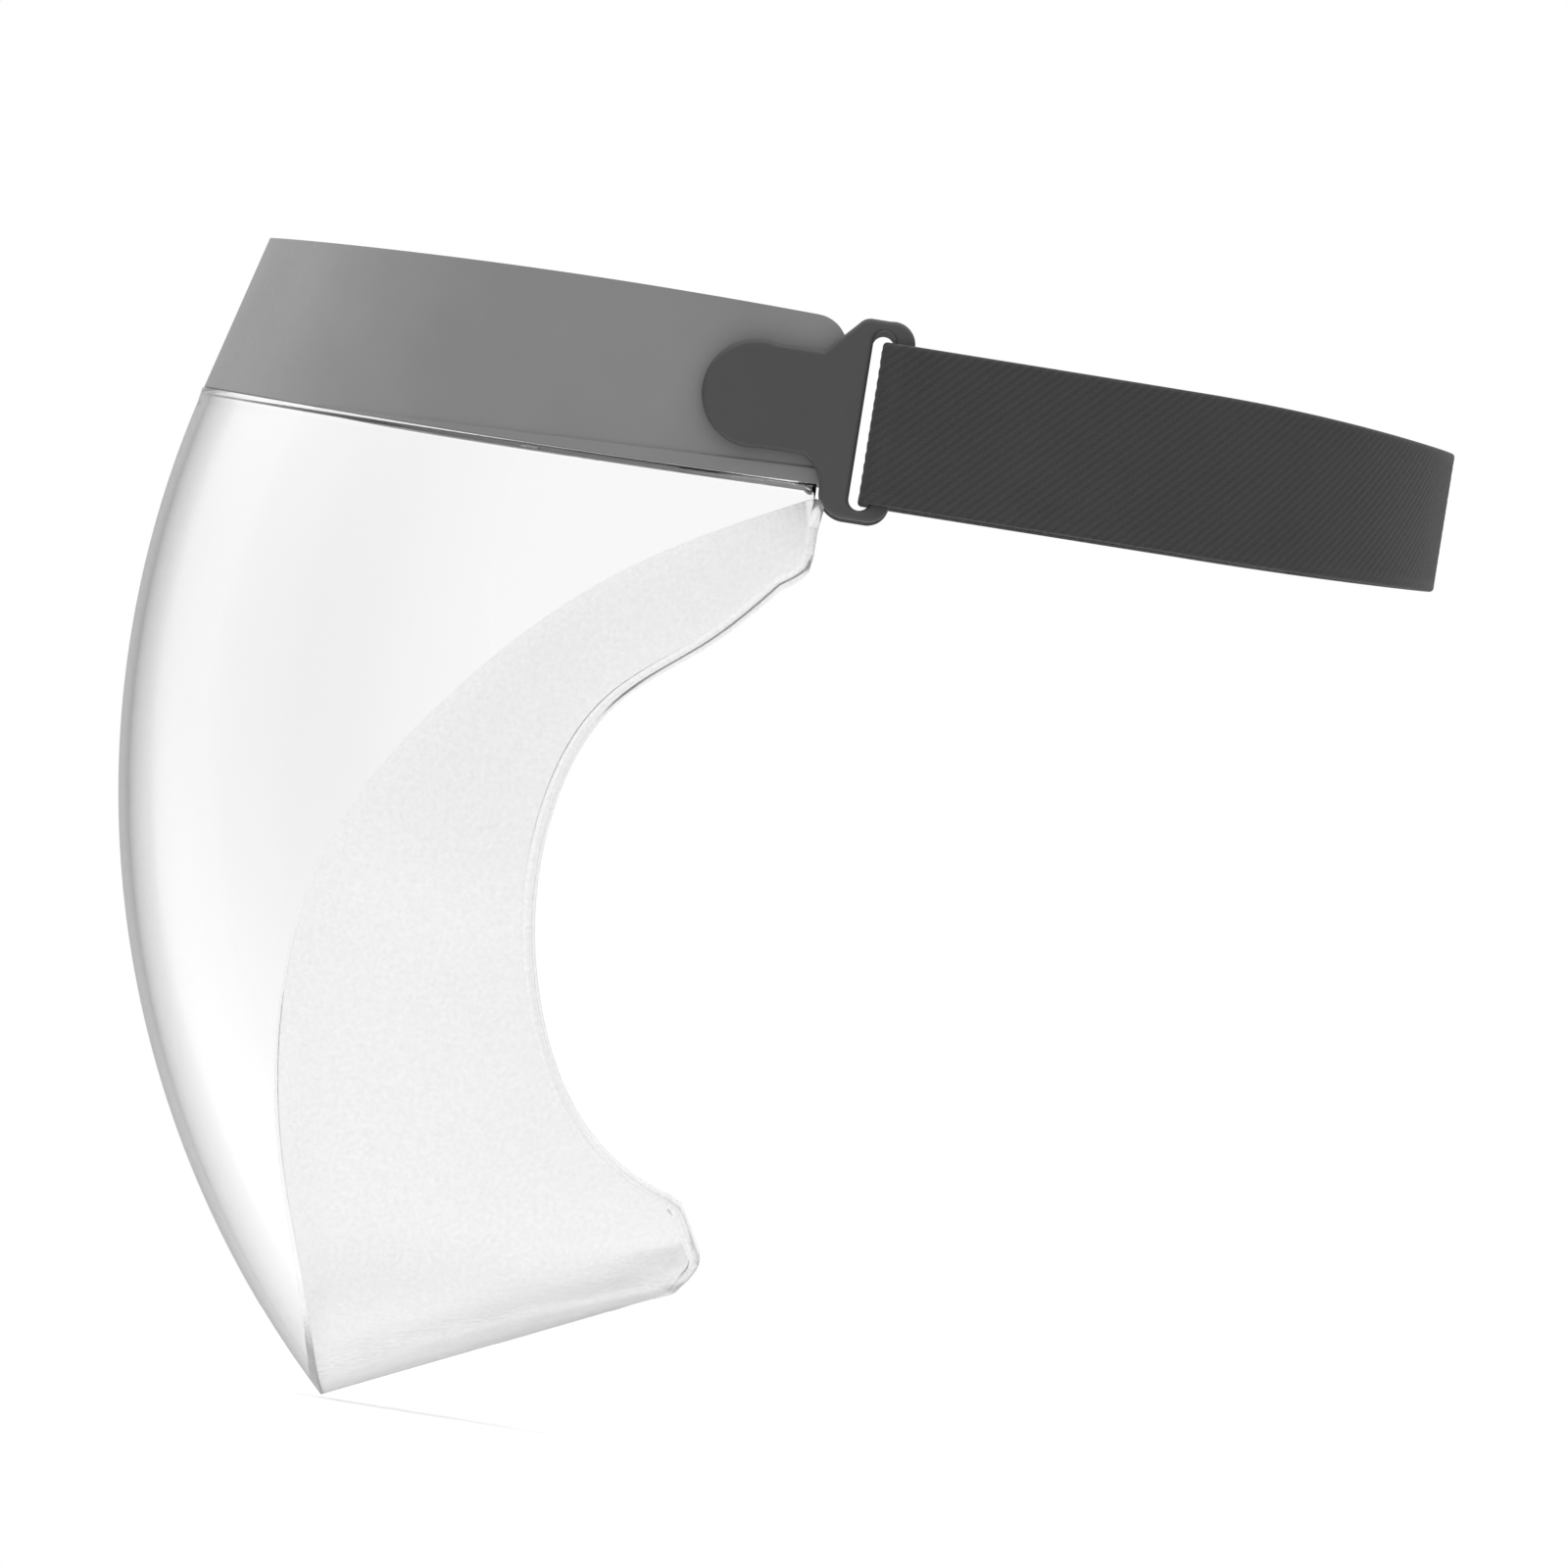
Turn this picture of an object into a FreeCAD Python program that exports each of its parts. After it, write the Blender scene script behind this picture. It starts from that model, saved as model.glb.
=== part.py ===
"""A clear full-face visor: a curved window and a soft face skirt hang from a rigid headband,
and an elastic strap closes round the back of the head on two swivelling buckles.

The frame: -Y is the way the wearer looks, +X the wearer's left, +Z up, all in millimetres.
The origin is midway between the two buckle pivots, so the pivots share the X axis.
The headband, the gasket, the retainer and the brow pad are all walls with one plan shape, a U:
half a circle round the forehead and a straight flank along each temple.
"""

import FreeCAD, Part
import math
import os

import Sketcher
from FreeCAD import Placement, Rotation, Vector

DIMENSIONS = {
    "half_width": (78.0, "outer half width over the headband's flanks"),
    "front_reach": (108.5, "pivot axis to the front of the headband's lower edge"),
    "band_drop": (15.4, "pivot axis down to the headband's lower edge"),
    "band_sag": (1.0, "bow of the lower edge along the flank"),
    "band_rise": (14.9, "pivot axis up to the headband's upper edge in front"),
    "band_crown": (17.6, "pivot axis up to the highest point of the upper edge"),
    "band_tail": (15.0, "pivot axis back to the headband's rear end"),
    "band_wall": (2.4, "headband wall"),
    "tail_round": (6.5, "rounding of the headband's rear upper corner"),
    "lip_height": (3.0, "height of the proud lip at the rear of the lower edge"),
    "lip_proud": (0.45, "how far the lip stands out"),
    "lens_bulge": (196.0, "radius of the window's vertical curve"),
    "lens_nose": (65.5, "pivot axis down to the window's foremost point"),
    "lens_wall": (2.0, "window wall"),
    "visor_drop": (207.0, "pivot axis down to the tip of the window"),
    "lens_gap": (0.15, "gap between the headband's lower edge and the window"),
    "tongue_top": (6.5, "pivot axis down to the top of the window's clamped tongue"),
    "rib_height": (1.8, "height of the rib that joins the window to its tongue"),
    "gasket_wall": (0.6, "gasket between the headband and the tongue"),
    "retainer_gap": (0.2, "assembly gap between the tongue and the retainer"),
    "retainer_wall": (2.6, "retainer strip"),
    "retainer_low": (14.0, "pivot axis down to the retainer's lower edge"),
    "retainer_high": (11.5, "pivot axis up to the retainer's upper edge"),
    "retainer_end": (14.0, "pivot axis forward to the retainer's ends"),
    "screw_level": (3.0, "pivot axis up to the row of retainer screws"),
    "screw_head": (2.2, "retainer screw head radius"),
    "screw_head_tall": (0.9, "retainer screw head height"),
    "screw_sink": (0.7, "how far the screw heads lie below the retainer's face"),
    "screw_shank": (1.2, "retainer screw shank radius"),
    "screw_socket": (0.8, "radius of the driving socket in a retainer screw's head"),
    "screw_end_gap": (0.3, "space left beyond a retainer screw in its blind hole"),
    "boss_radius": (3.6, "radius of the headband's screw bosses"),
    "skin_left": (1.0, "headband skin left in front of a screw's blind hole"),
    "backing_wall": (1.0, "hook-and-loop strip that holds the brow pad"),
    "pad_wall": (9.5, "brow pad"),
    "pad_low": (14.5, "pivot axis down to the brow pad's lower edge"),
    "pad_high": (13.5, "pivot axis up to the brow pad's upper edge"),
    "pad_end": (66.0, "pivot axis forward to the brow pad's ends"),
    "skirt_wall": (1.8, "face skirt wall"),
    "bond_gap": (0.1, "glue line between the window's edge and the skirt"),
    "seal_width": (2.2, "width of the soft bead round the skirt's face edge"),
    "seal_proud": (0.35, "how far the bead stands out of the skirt's two faces"),
    "throat_radius": (46.0, "radius of the throat cut-out in the chin floor"),
    "throat_reach": (1.0, "pivot axis back to the throat cut-out's front"),
    "washer_wall": (0.75, "friction washer between headband and buckle"),
    "washer_radius": (6.5, "friction washer outer radius"),
    "axial_play": (0.05, "end play on the buckle pivot"),
    "pivot_play": (0.08, "radial running clearance on the pivot's shoulder"),
    "shoulder_radius": (2.2, "radius of the pivot screw's shoulder"),
    "thread_radius": (1.4, "radius of the pivot screw's threaded end"),
    "thread_reach": (2.2, "depth of the threaded end in the buckle"),
    "pivot_head": (4.2, "pivot screw head radius"),
    "pivot_head_tall": (1.5, "pivot screw head height"),
    "buckle_wall": (3.2, "buckle plate thickness"),
    "lobe_radius": (10.6, "radius of the buckle's round end"),
    "lobe_lead": (1.2, "how far the round end's centre lies ahead of the pivot"),
    "neck_half": (10.3, "half height of the buckle's neck"),
    "neck_reach": (10.6, "pivot axis back to where the buckle flares"),
    "neck_flare": (6.0, "depth over which the neck widens into the yoke"),
    "yoke_corner": (4.5, "size of the yoke's rear corners"),
    "yoke_rise": (18.0, "pivot axis up to the top of the buckle's yoke"),
    "yoke_drop": (21.4, "pivot axis down to the bottom of the yoke"),
    "yoke_reach": (28.0, "pivot axis back to the yoke's rear edge"),
    "slot_front": (19.8, "pivot axis back to the front of the strap slot"),
    "slot_margin": (2.0, "yoke material above and below the strap slot"),
    "bar_wall": (4.0, "depth of the strap bar"),
    "buckle_edge": (0.9, "rounding of the buckle's edges"),
    "strap_wall": (1.6, "strap thickness"),
    "strap_top": (13.9, "pivot axis up to the strap's upper edge"),
    "strap_bottom": (17.8, "pivot axis down to the strap's lower edge"),
    "strap_reach": (136.0, "pivot axis back to the strap's rearmost face"),
    "strap_dip": (3.8, "how far the upper edge dips at the back of the head"),
    "strap_neck": (0.9, "how far the lower edge rises at the back of the head"),
    "strap_taper": (7.0, "angle of the strap's straight legs, in degrees"),
    "bar_play": (0.1, "clearance between the strap and its bar"),
    "tail_length": (46.0, "angle of the strap that its folded tail follows, in degrees"),
    "patch_play": (0.1, "clearance of the hook-and-loop patches"),
}

# The crease between the window and the skirt, seen from the side: shares of the way from the
# crease's rear end at the temple to the window's tip, along Y and down Z.
CREASE_SHAPE = [(0.539, 0.112), (0.944, 0.258), (1.221, 0.429),
                (1.278, 0.630), (1.209, 0.766), (1.091, 0.894)]

# The face edge of the skirt in the same shares, from the temple wing to the chin's rear corner.
RIM_SHAPE = [(0.055, 0.097), (0.242, 0.169), (0.480, 0.245), (0.610, 0.373), (0.614, 0.460),
             (0.545, 0.572), (0.340, 0.691), (0.168, 0.730), (0.063, 0.742)]

# Where each stretch of the skirt heads: the share of the crease's length, then a point just
# beyond the face edge in the same shares of Y and Z, and that point's share of the half width.
SKIRT_STATIONS = [
    (0.000, -0.040, 0.083, 0.987), (0.090, 0.078, 0.147, 0.974), (0.170, 0.270, 0.232, 0.936),
    (0.250, 0.417, 0.316, 0.885), (0.330, 0.490, 0.391, 0.833), (0.415, 0.490, 0.459, 0.782),
    (0.500, 0.461, 0.512, 0.744), (0.570, 0.417, 0.581, 0.705), (0.660, 0.270, 0.661, 0.654),
    (0.720, 0.122, 0.714, 0.615), (0.775, -0.099, 0.751, 0.583), (0.850, -0.099, 0.787, 0.551),
    (0.900, -0.099, 0.812, 0.460), (0.950, -0.099, 0.814, 0.300), (1.000, -0.099, 0.814, 0.000)]

SCREW_ANGLES = [-75, -45, -15, 15, 45, 75]
FAR = 300.0

doc = FreeCAD.newDocument("face_visor")
sheet = doc.addObject("Spreadsheet::Sheet", "sizes")
for row, (alias, (value, note)) in enumerate(DIMENSIONS.items(), start=1):
    sheet.set(f"A{row}", alias.replace("_", " "))
    sheet.set(f"B{row}", str(value))
    sheet.set(f"C{row}", note)
    sheet.setAlias(f"B{row}", alias)
doc.recompute()


def size(alias):
    return float(sheet.get(alias))


# ---------------------------------------------------------------- derived places

half_width = size("half_width")
lens_bulge = size("lens_bulge")
bulge_z = -size("lens_nose")
band_low = -size("band_drop")
bulge_y = -size("front_reach") + math.sqrt(lens_bulge ** 2 - (band_low - bulge_z) ** 2)
band_lean = (band_low - bulge_z) / math.sqrt(lens_bulge ** 2 - (band_low - bulge_z) ** 2)
tail_y = size("band_tail")
tip_z = -size("visor_drop")

tongue_out = size("band_wall") + size("gasket_wall")
tongue_in = tongue_out + size("lens_wall")
retainer_out = tongue_in + size("retainer_gap")
retainer_in = retainer_out + size("retainer_wall")
backing_in = retainer_in + size("backing_wall")
pad_in = backing_in + size("pad_wall")

buckle_face = half_width + size("axial_play") + size("washer_wall")
bar_y = size("yoke_reach") - size("bar_wall") / 2
bar_x = buckle_face + size("buckle_wall") / 2


def lens_front_y(z, inset=0.0):
    """The window's front in the middle plane, on its outer face or inset from it."""
    return bulge_y - math.sqrt((lens_bulge - inset) ** 2 - (z - bulge_z) ** 2)


def band_front_y(z):
    """The headband leans back along the tangent of the window's vertical curve."""
    return -size("front_reach") + band_lean * (z - band_low)


# ---------------------------------------------------------------- shape helpers

def add_piece(label, shape):
    piece = doc.addObject("Part::Feature", label)
    piece.Label = label
    piece.Shape = shape
    return piece


def side_outline(start, *steps):
    """A closed wire in the YZ plane. A step is one point for a line, two for an arc through
    the first, or a list for a smooth curve. Points are (y, z)."""
    def at(point):
        return Vector(0, point[0], point[1])

    edges, here = [], start
    for step in steps:
        if isinstance(step, list):
            curve = Part.BSplineCurve()
            curve.interpolate([at(here)] + [at(p) for p in step])
            edges.append(curve.toShape())
            here = step[-1]
        elif isinstance(step[0], tuple):
            edges.append(Part.Arc(at(here), at(step[0]), at(step[1])).toShape())
            here = step[1]
        else:
            edges.append(Part.makeLine(at(here), at(step)))
            here = step
    if here != start:
        edges.append(Part.makeLine(at(here), at(start)))
    return Part.Wire(edges)


def across(wire):
    """A side outline pushed right across the part, from -X to +X."""
    reach = 2 * half_width
    return Part.Face(wire).extrude(Vector(2 * reach, 0, 0)).translated(Vector(-reach, 0, 0))


def u_face(radius, front_y, rear_y, z):
    """A filled U in plan: half a circle in front and straight flanks back to rear_y."""
    middle_y = front_y + radius
    left, right = Vector(radius, middle_y, z), Vector(-radius, middle_y, z)
    arc = Part.Arc(left, Vector(0, front_y, z), right).toShape()
    back_right, back_left = Vector(-radius, rear_y, z), Vector(radius, rear_y, z)
    sides = Part.makePolygon([right, back_right, back_left, left])
    return Part.Face(Part.Wire([arc] + sides.Edges))


def leaning_wall(outset, inset, z_low, z_high):
    """A U wall between two insets from the headband's outer face, leaning as it does."""
    shift = Vector(0, band_lean * (z_high - z_low), z_high - z_low)
    front = band_front_y(z_low)
    outer = u_face(half_width - outset, front + outset, 2 * tail_y + outset, z_low)
    inner = u_face(half_width - inset, front + inset, 3 * tail_y + inset, z_low)
    return outer.extrude(shift).cut(inner.extrude(shift))


def behind(y, z_low=-FAR, z_high=FAR):
    """Everything further back than y, between two heights."""
    return Part.makeBox(2 * FAR, FAR, z_high - z_low, Vector(-FAR, y, z_low))


def band_edge_low(drop=0.0):
    """The headband's bowed lower edge as three points, lowered by drop."""
    middle = (-size("front_reach") + tail_y) / 2
    return ((-size("front_reach"), band_low - drop),
            (middle, band_low - size("band_sag") - drop),
            (tail_y, band_low - drop))


def under_band(drop):
    """Everything below the headband's lower edge, lowered by drop."""
    front, middle, rear = band_edge_low(drop)
    return across(side_outline(front, (middle, rear), (FAR, rear[1]), (FAR, -FAR),
                               (-FAR, -FAR), (-FAR, front[1])))


# ---------------------------------------------------------------- headband

def headband_shape():
    front, middle, rear = band_edge_low()
    corner = size("tail_round")
    top = size("band_crown")
    top_front = (-size("front_reach") - size("band_wall"), size("band_rise"))
    top_middle = (-tail_y, top)
    top_rear = (tail_y - corner, top - 0.06 * corner)
    outline = side_outline(
        (front[0] - 5, front[1]), front, (middle, rear), (tail_y, top - corner * 1.1),
        ((tail_y - 0.28 * corner, top - 0.38 * corner), top_rear), (top_middle, top_front),
        (front[0] - 5, size("band_rise")))
    wall = leaning_wall(0, size("band_wall"), band_low - 5, top + 5).common(across(outline))

    lip_outline = side_outline(
        (front[0] + 0.1 * size("front_reach"), band_low - size("band_sag")),
        (tail_y, band_low + size("lip_height")), (tail_y, band_low - 5), (front[0], band_low - 5))
    lip = leaning_wall(-size("lip_proud"), size("band_wall") / 2, band_low - 5, top + 5)
    lip = lip.common(across(lip_outline)).common(across(outline))
    wall = wall.fuse(lip)

    middle_y = band_front_y(size("screw_level")) + half_width
    boss_room = leaning_wall(size("band_wall") / 2, retainer_out, band_low, top)
    for angle in SCREW_ANGLES:
        boss = radial_peg(angle, size("boss_radius"), half_width - retainer_out - 2,
                          half_width - size("band_wall") / 2 + 1, middle_y).common(boss_room)
        hole = radial_peg(angle, size("screw_shank"), half_width - retainer_out - 1,
                          half_width - size("skin_left"), middle_y)
        wall = wall.fuse(boss).cut(hole)
    pivot_hole = Part.makeCylinder(size("shoulder_radius") + size("pivot_play"), 4 * half_width,
                                   Vector(-2 * half_width, 0, 0), Vector(1, 0, 0))
    return wall.cut(pivot_hole).removeSplitter()


def radial_peg(angle, radius, near, far, middle_y):
    """A level round peg on a line out from the U's centre, angle degrees off straight ahead."""
    direction = Vector(math.sin(math.radians(angle)), -math.cos(math.radians(angle)), 0)
    start = Vector(0, middle_y, size("screw_level")) + direction * near
    return Part.makeCylinder(radius, far - near, start, direction)


# ---------------------------------------------------------------- window and skirt

crease_start = (tail_y - 1.7, band_low - size("rib_height") - 1.1)
crease_end = (lens_front_y(tip_z), tip_z)


def side_point(share_y, share_z):
    """A side view point from its shares of the way from the crease's start to its end."""
    return (crease_start[0] + share_y * (crease_end[0] - crease_start[0]),
            crease_start[1] + share_z * (crease_end[1] - crease_start[1]))


crease_points = [crease_start] + [side_point(*s) for s in CREASE_SHAPE] + [crease_end]
crease_curve = Part.BSplineCurve()
crease_curve.interpolate([Vector(0, y, z) for y, z in crease_points])


def crease_value(share):
    """The crease's point at this share of its run, in the side view."""
    first, last = crease_curve.FirstParameter, crease_curve.LastParameter
    return crease_curve.value(first + share * (last - first))


def before_crease():
    """Everything in front of the crease, seen from the side."""
    end_y, end_z = crease_points[-1]
    return across(side_outline(
        crease_points[0], crease_points[1:], (end_y + 2, end_z - 6), (-FAR, end_z - 6),
        (-FAR, FAR), (crease_start[0], FAR)))


def barrel(inset):
    """The filled form inside the window's outer face, inset evenly all round."""
    levels = 12
    top, bottom = band_low + 6, tip_z - 6
    rear = lens_front_y(bottom) + 2 * half_width + 10 * inset
    sections = []
    for level in range(levels + 1):
        z = top + (bottom - top) * level / levels
        face = u_face(half_width - inset, lens_front_y(z, inset), rear, z)
        sections.append(face.OuterWire)
    return Part.makeLoft(sections, True, False)


def left_side():
    return Part.makeBox(FAR, 2 * FAR, 2 * FAR, Vector(0, -FAR, -FAR))


def whole(left_half):
    """A symmetric piece from its left half; slivers left at the ends of a cut are dropped."""
    if not left_half.Solids:
        raise RuntimeError("a cut left nothing of a symmetric piece")
    half = max(left_half.Solids, key=lambda solid: solid.Volume)
    return half.fuse(half.mirror(Vector(0, 0, 0), Vector(1, 0, 0))).removeSplitter()


def lens_shape():
    shell = barrel(0).cut(barrel(size("lens_wall"))).common(left_side())
    shell = shell.common(before_crease()).common(under_band(size("lens_gap")))
    if not shell.Solids:
        raise RuntimeError("a cut left nothing of the window's shell")
    bury = size("lens_wall") / 4
    rib_top, rib_low = size("lens_gap") + bury / 2, size("lens_gap") + size("rib_height")
    rib = leaning_wall(bury, tongue_in, band_low - 8, band_low + 4)
    rib = rib.common(under_band(rib_top)).cut(under_band(rib_low)).cut(behind(crease_start[0] - bury))
    tongue = leaning_wall(tongue_out, tongue_in, band_low - 8, -size("tongue_top"))
    tongue = tongue.cut(under_band(rib_low - bury)).cut(behind(crease_start[0] - 3))
    joggle = rib.fuse(tongue).common(left_side())
    return whole(shell.fuse(joggle))


def crease_at(gap, inset):
    """The point on the crease that lies gap behind the window's front, found by halving."""
    low, high = 0.0, 1.0
    for _ in range(50):
        share = (low + high) / 2
        point = crease_value(share)
        if point.y - lens_front_y(point.z, inset) > gap:
            low = share
        else:
            high = share
    return share, crease_value(share)


def crease_stations(inset):
    """Points along the crease on the window's face at this inset, from the left temple to the
    middle plane: along the flank, then at even angles round the window's plan arc."""
    radius = half_width - inset
    glue = Vector(0, size("bond_gap"), 0)
    flank_end, _ = crease_at(radius, inset)
    points = []
    for step in range(6):
        point = crease_value(flank_end * step / 6)
        points.append(Vector(radius, point.y, point.z) + glue)
    turns = 14
    for step in range(turns + 1):
        angle = math.pi / 2 * (1 - step / turns)
        _, point = crease_at(radius * (1 - math.cos(angle)), inset)
        points.append(Vector(radius * math.sin(angle), point.y, point.z) + glue)
    return points


def skirt_targets(shares):
    """Where the skirt heads from each station, read off a smooth curve through the stations."""
    heads = []
    for _, share_y, share_z, share_x in SKIRT_STATIONS:
        y, z = side_point(share_y, share_z)
        heads.append(Vector(share_x * half_width, y, z))
    curve = Part.BSplineCurve()
    curve.interpolate(Points=heads, Parameters=[station[0] for station in SKIRT_STATIONS])
    targets = [curve.value(share) for share in shares]
    targets[-1].x = 0.0
    return targets


def both_sides(points):
    """The points from the left temple to the middle, then mirrored back to the right."""
    return points + [Vector(-p.x, p.y, p.z) for p in reversed(points[:-1])]


def skirt_strip(outset, wall):
    """The skirt before its face edge is trimmed: a ruled wall from the crease backwards."""
    near_out = both_sides(crease_stations(0.0))
    near_in = both_sides(crease_stations(size("lens_wall")))
    half = len(near_out) // 2 + 1
    steps = [(near_out[i + 1] - near_out[i]).Length for i in range(half - 1)]
    shares = [sum(steps[:i]) / sum(steps) for i in range(half)]
    far_mid = both_sides(skirt_targets(shares))

    normals = []
    last = len(near_out) - 1
    for i, (near, far) in enumerate(zip(near_out, far_mid)):
        before, after = max(i - 1, 0), min(i + 1, last)
        along = far_mid[after] - far_mid[before] + near_out[after] - near_out[before]
        normal = along.cross(far - near)
        normals.append(normal.normalize())
    if normals[0].x < 0:
        normals = [n.negative() for n in normals]
    far_out = [p + n * outset for p, n in zip(far_mid, normals)]
    far_in = [p - n * (wall - outset) for p, n in zip(far_mid, normals)]
    if outset:
        near_out = [p + n * outset for p, n in zip(near_out, normals)]
        near_in = [p - n * outset for p, n in zip(near_in, normals)]

    length = [0.0]
    for i in range(last):
        length.append(length[-1] + (far_mid[i + 1] - far_mid[i]).Length
                      + (near_out[i + 1] - near_out[i]).Length)
    curves = []
    for points in (near_out, far_out, far_in, near_in):
        curve = Part.BSplineCurve()
        curve.interpolate(Points=points, Parameters=length)
        curves.append(curve.toShape())
    faces = [Part.makeRuledSurface(curves[i], curves[(i + 1) % 4]) for i in range(4)]
    for end in (0, -1):
        corners = [near_out[end], far_out[end], far_in[end], near_in[end]]
        faces.append(Part.makeRuledSurface(Part.makeLine(corners[0], corners[1]),
                                           Part.makeLine(corners[3], corners[2])))
    shell = Part.Shell(faces)
    shell.sewShape()
    solid = Part.Solid(shell)
    if solid.Volume < 0:
        solid.reverse()
    return solid


def rim_points(inset):
    """The face edge from the temple wing to the chin, moved into the skirt by inset."""
    curve = Part.BSplineCurve()
    curve.interpolate([Vector(0, *side_point(*s)) for s in RIM_SHAPE])
    moved = []
    for share_y, share_z in RIM_SHAPE:
        point = Vector(0, *side_point(share_y, share_z))
        heading = curve.tangent(curve.parameter(point))[0]
        moved.append((point.y + heading.z * inset, point.z - heading.y * inset))
    return moved


def before_rim(inset):
    """Everything in front of the skirt's face edge, moved forward by inset."""
    rim = rim_points(inset)
    floor_rear = side_point(*SKIRT_STATIONS[-1][1:3])
    floor_rise = (floor_rear[1] - crease_end[1]) / (floor_rear[0] - crease_end[0]) + 0.0078
    rear = tail_y - 0.1 - inset
    corner_z = crease_end[1] + floor_rise * (rear - crease_end[0])
    low = 0.4
    outline = side_outline(
        (rear, band_low + 12), (rear, rim[0][1] + 6.5),
        ((rear - 0.7, rim[0][1] + 3.0), rim[0]), rim[1:],
        ((rear - 1.6, corner_z + 9.5), (rear, corner_z + 4.0)),
        ((rear - 1.1, corner_z + 0.6 - low), (rear - 5, corner_z - 5 * floor_rise - low)),
        (crease_end[0] - 30, crease_end[1] - 30 * floor_rise - low),
        (-FAR, crease_end[1] - 30 * floor_rise - low), (-FAR, band_low + 12))
    throat = Part.makeCylinder(size("throat_radius") + inset, FAR,
                               Vector(0, size("throat_reach") + size("throat_radius"), tip_z))
    return across(outline).cut(throat)


def skirt_and_seal():
    """The skirt and its soft edge bead: each left half is trimmed, then joined to its mirror."""
    bead, proud = size("seal_width"), size("seal_proud")
    skirt = skirt_strip(0.0, size("skirt_wall")).common(left_side()).common(before_rim(bead))
    seal = skirt_strip(proud, size("skirt_wall") + 2 * proud).common(left_side())
    seal = seal.common(before_rim(0.0)).cut(before_rim(bead))
    return whole(skirt), whole(seal)


# ---------------------------------------------------------------- inside the headband

def gasket_shape():
    wall = leaning_wall(size("band_wall"), tongue_out, band_low - 5, -size("tongue_top"))
    return wall.cut(under_band(0.0)).cut(behind(-size("pivot_head") - 2))


def retainer_shape():
    wall = leaning_wall(retainer_out, retainer_in, -size("retainer_low"), size("retainer_high"))
    wall = wall.cut(behind(-size("retainer_end")))
    head_depth = size("screw_sink") + size("screw_head_tall")
    middle_y = band_front_y(size("screw_level")) + half_width
    for angle in SCREW_ANGLES:
        shank = radial_peg(angle, size("screw_shank"), half_width - retainer_in - 3,
                           half_width - retainer_out + 3, middle_y)
        head = radial_peg(angle, size("screw_head"), half_width - retainer_in - 3,
                          half_width - retainer_in + head_depth, middle_y)
        wall = wall.cut(shank).cut(head)
    return wall


def retainer_screws_shape():
    """Six thread-forming screws, their heads sunk in the retainer."""
    middle_y = band_front_y(size("screw_level")) + half_width
    screws = []
    for angle in SCREW_ANGLES:
        head_face = half_width - retainer_in + size("screw_sink")
        shank = radial_peg(angle, size("screw_shank"), head_face,
                           half_width - size("skin_left") - size("screw_end_gap"), middle_y)
        head = radial_peg(angle, size("screw_head") - 0.1, head_face,
                          head_face + size("screw_head_tall"), middle_y)
        socket = radial_peg(angle, size("screw_socket"), head_face - 1,
                            head_face + 0.75 * size("screw_head_tall"), middle_y)
        screws.append(shank.fuse(head).cut(socket))
    return Part.makeCompound(screws)


def pad_layer(outset, inset, z_low, z_high):
    return leaning_wall(outset, inset, z_low, z_high).cut(behind(-size("pad_end")))


# ---------------------------------------------------------------- buckles and pivots

def bind(piece, **expressions):
    for name, expression in expressions.items():
        piece.setExpression(name.replace("__", "."), expression)


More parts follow.
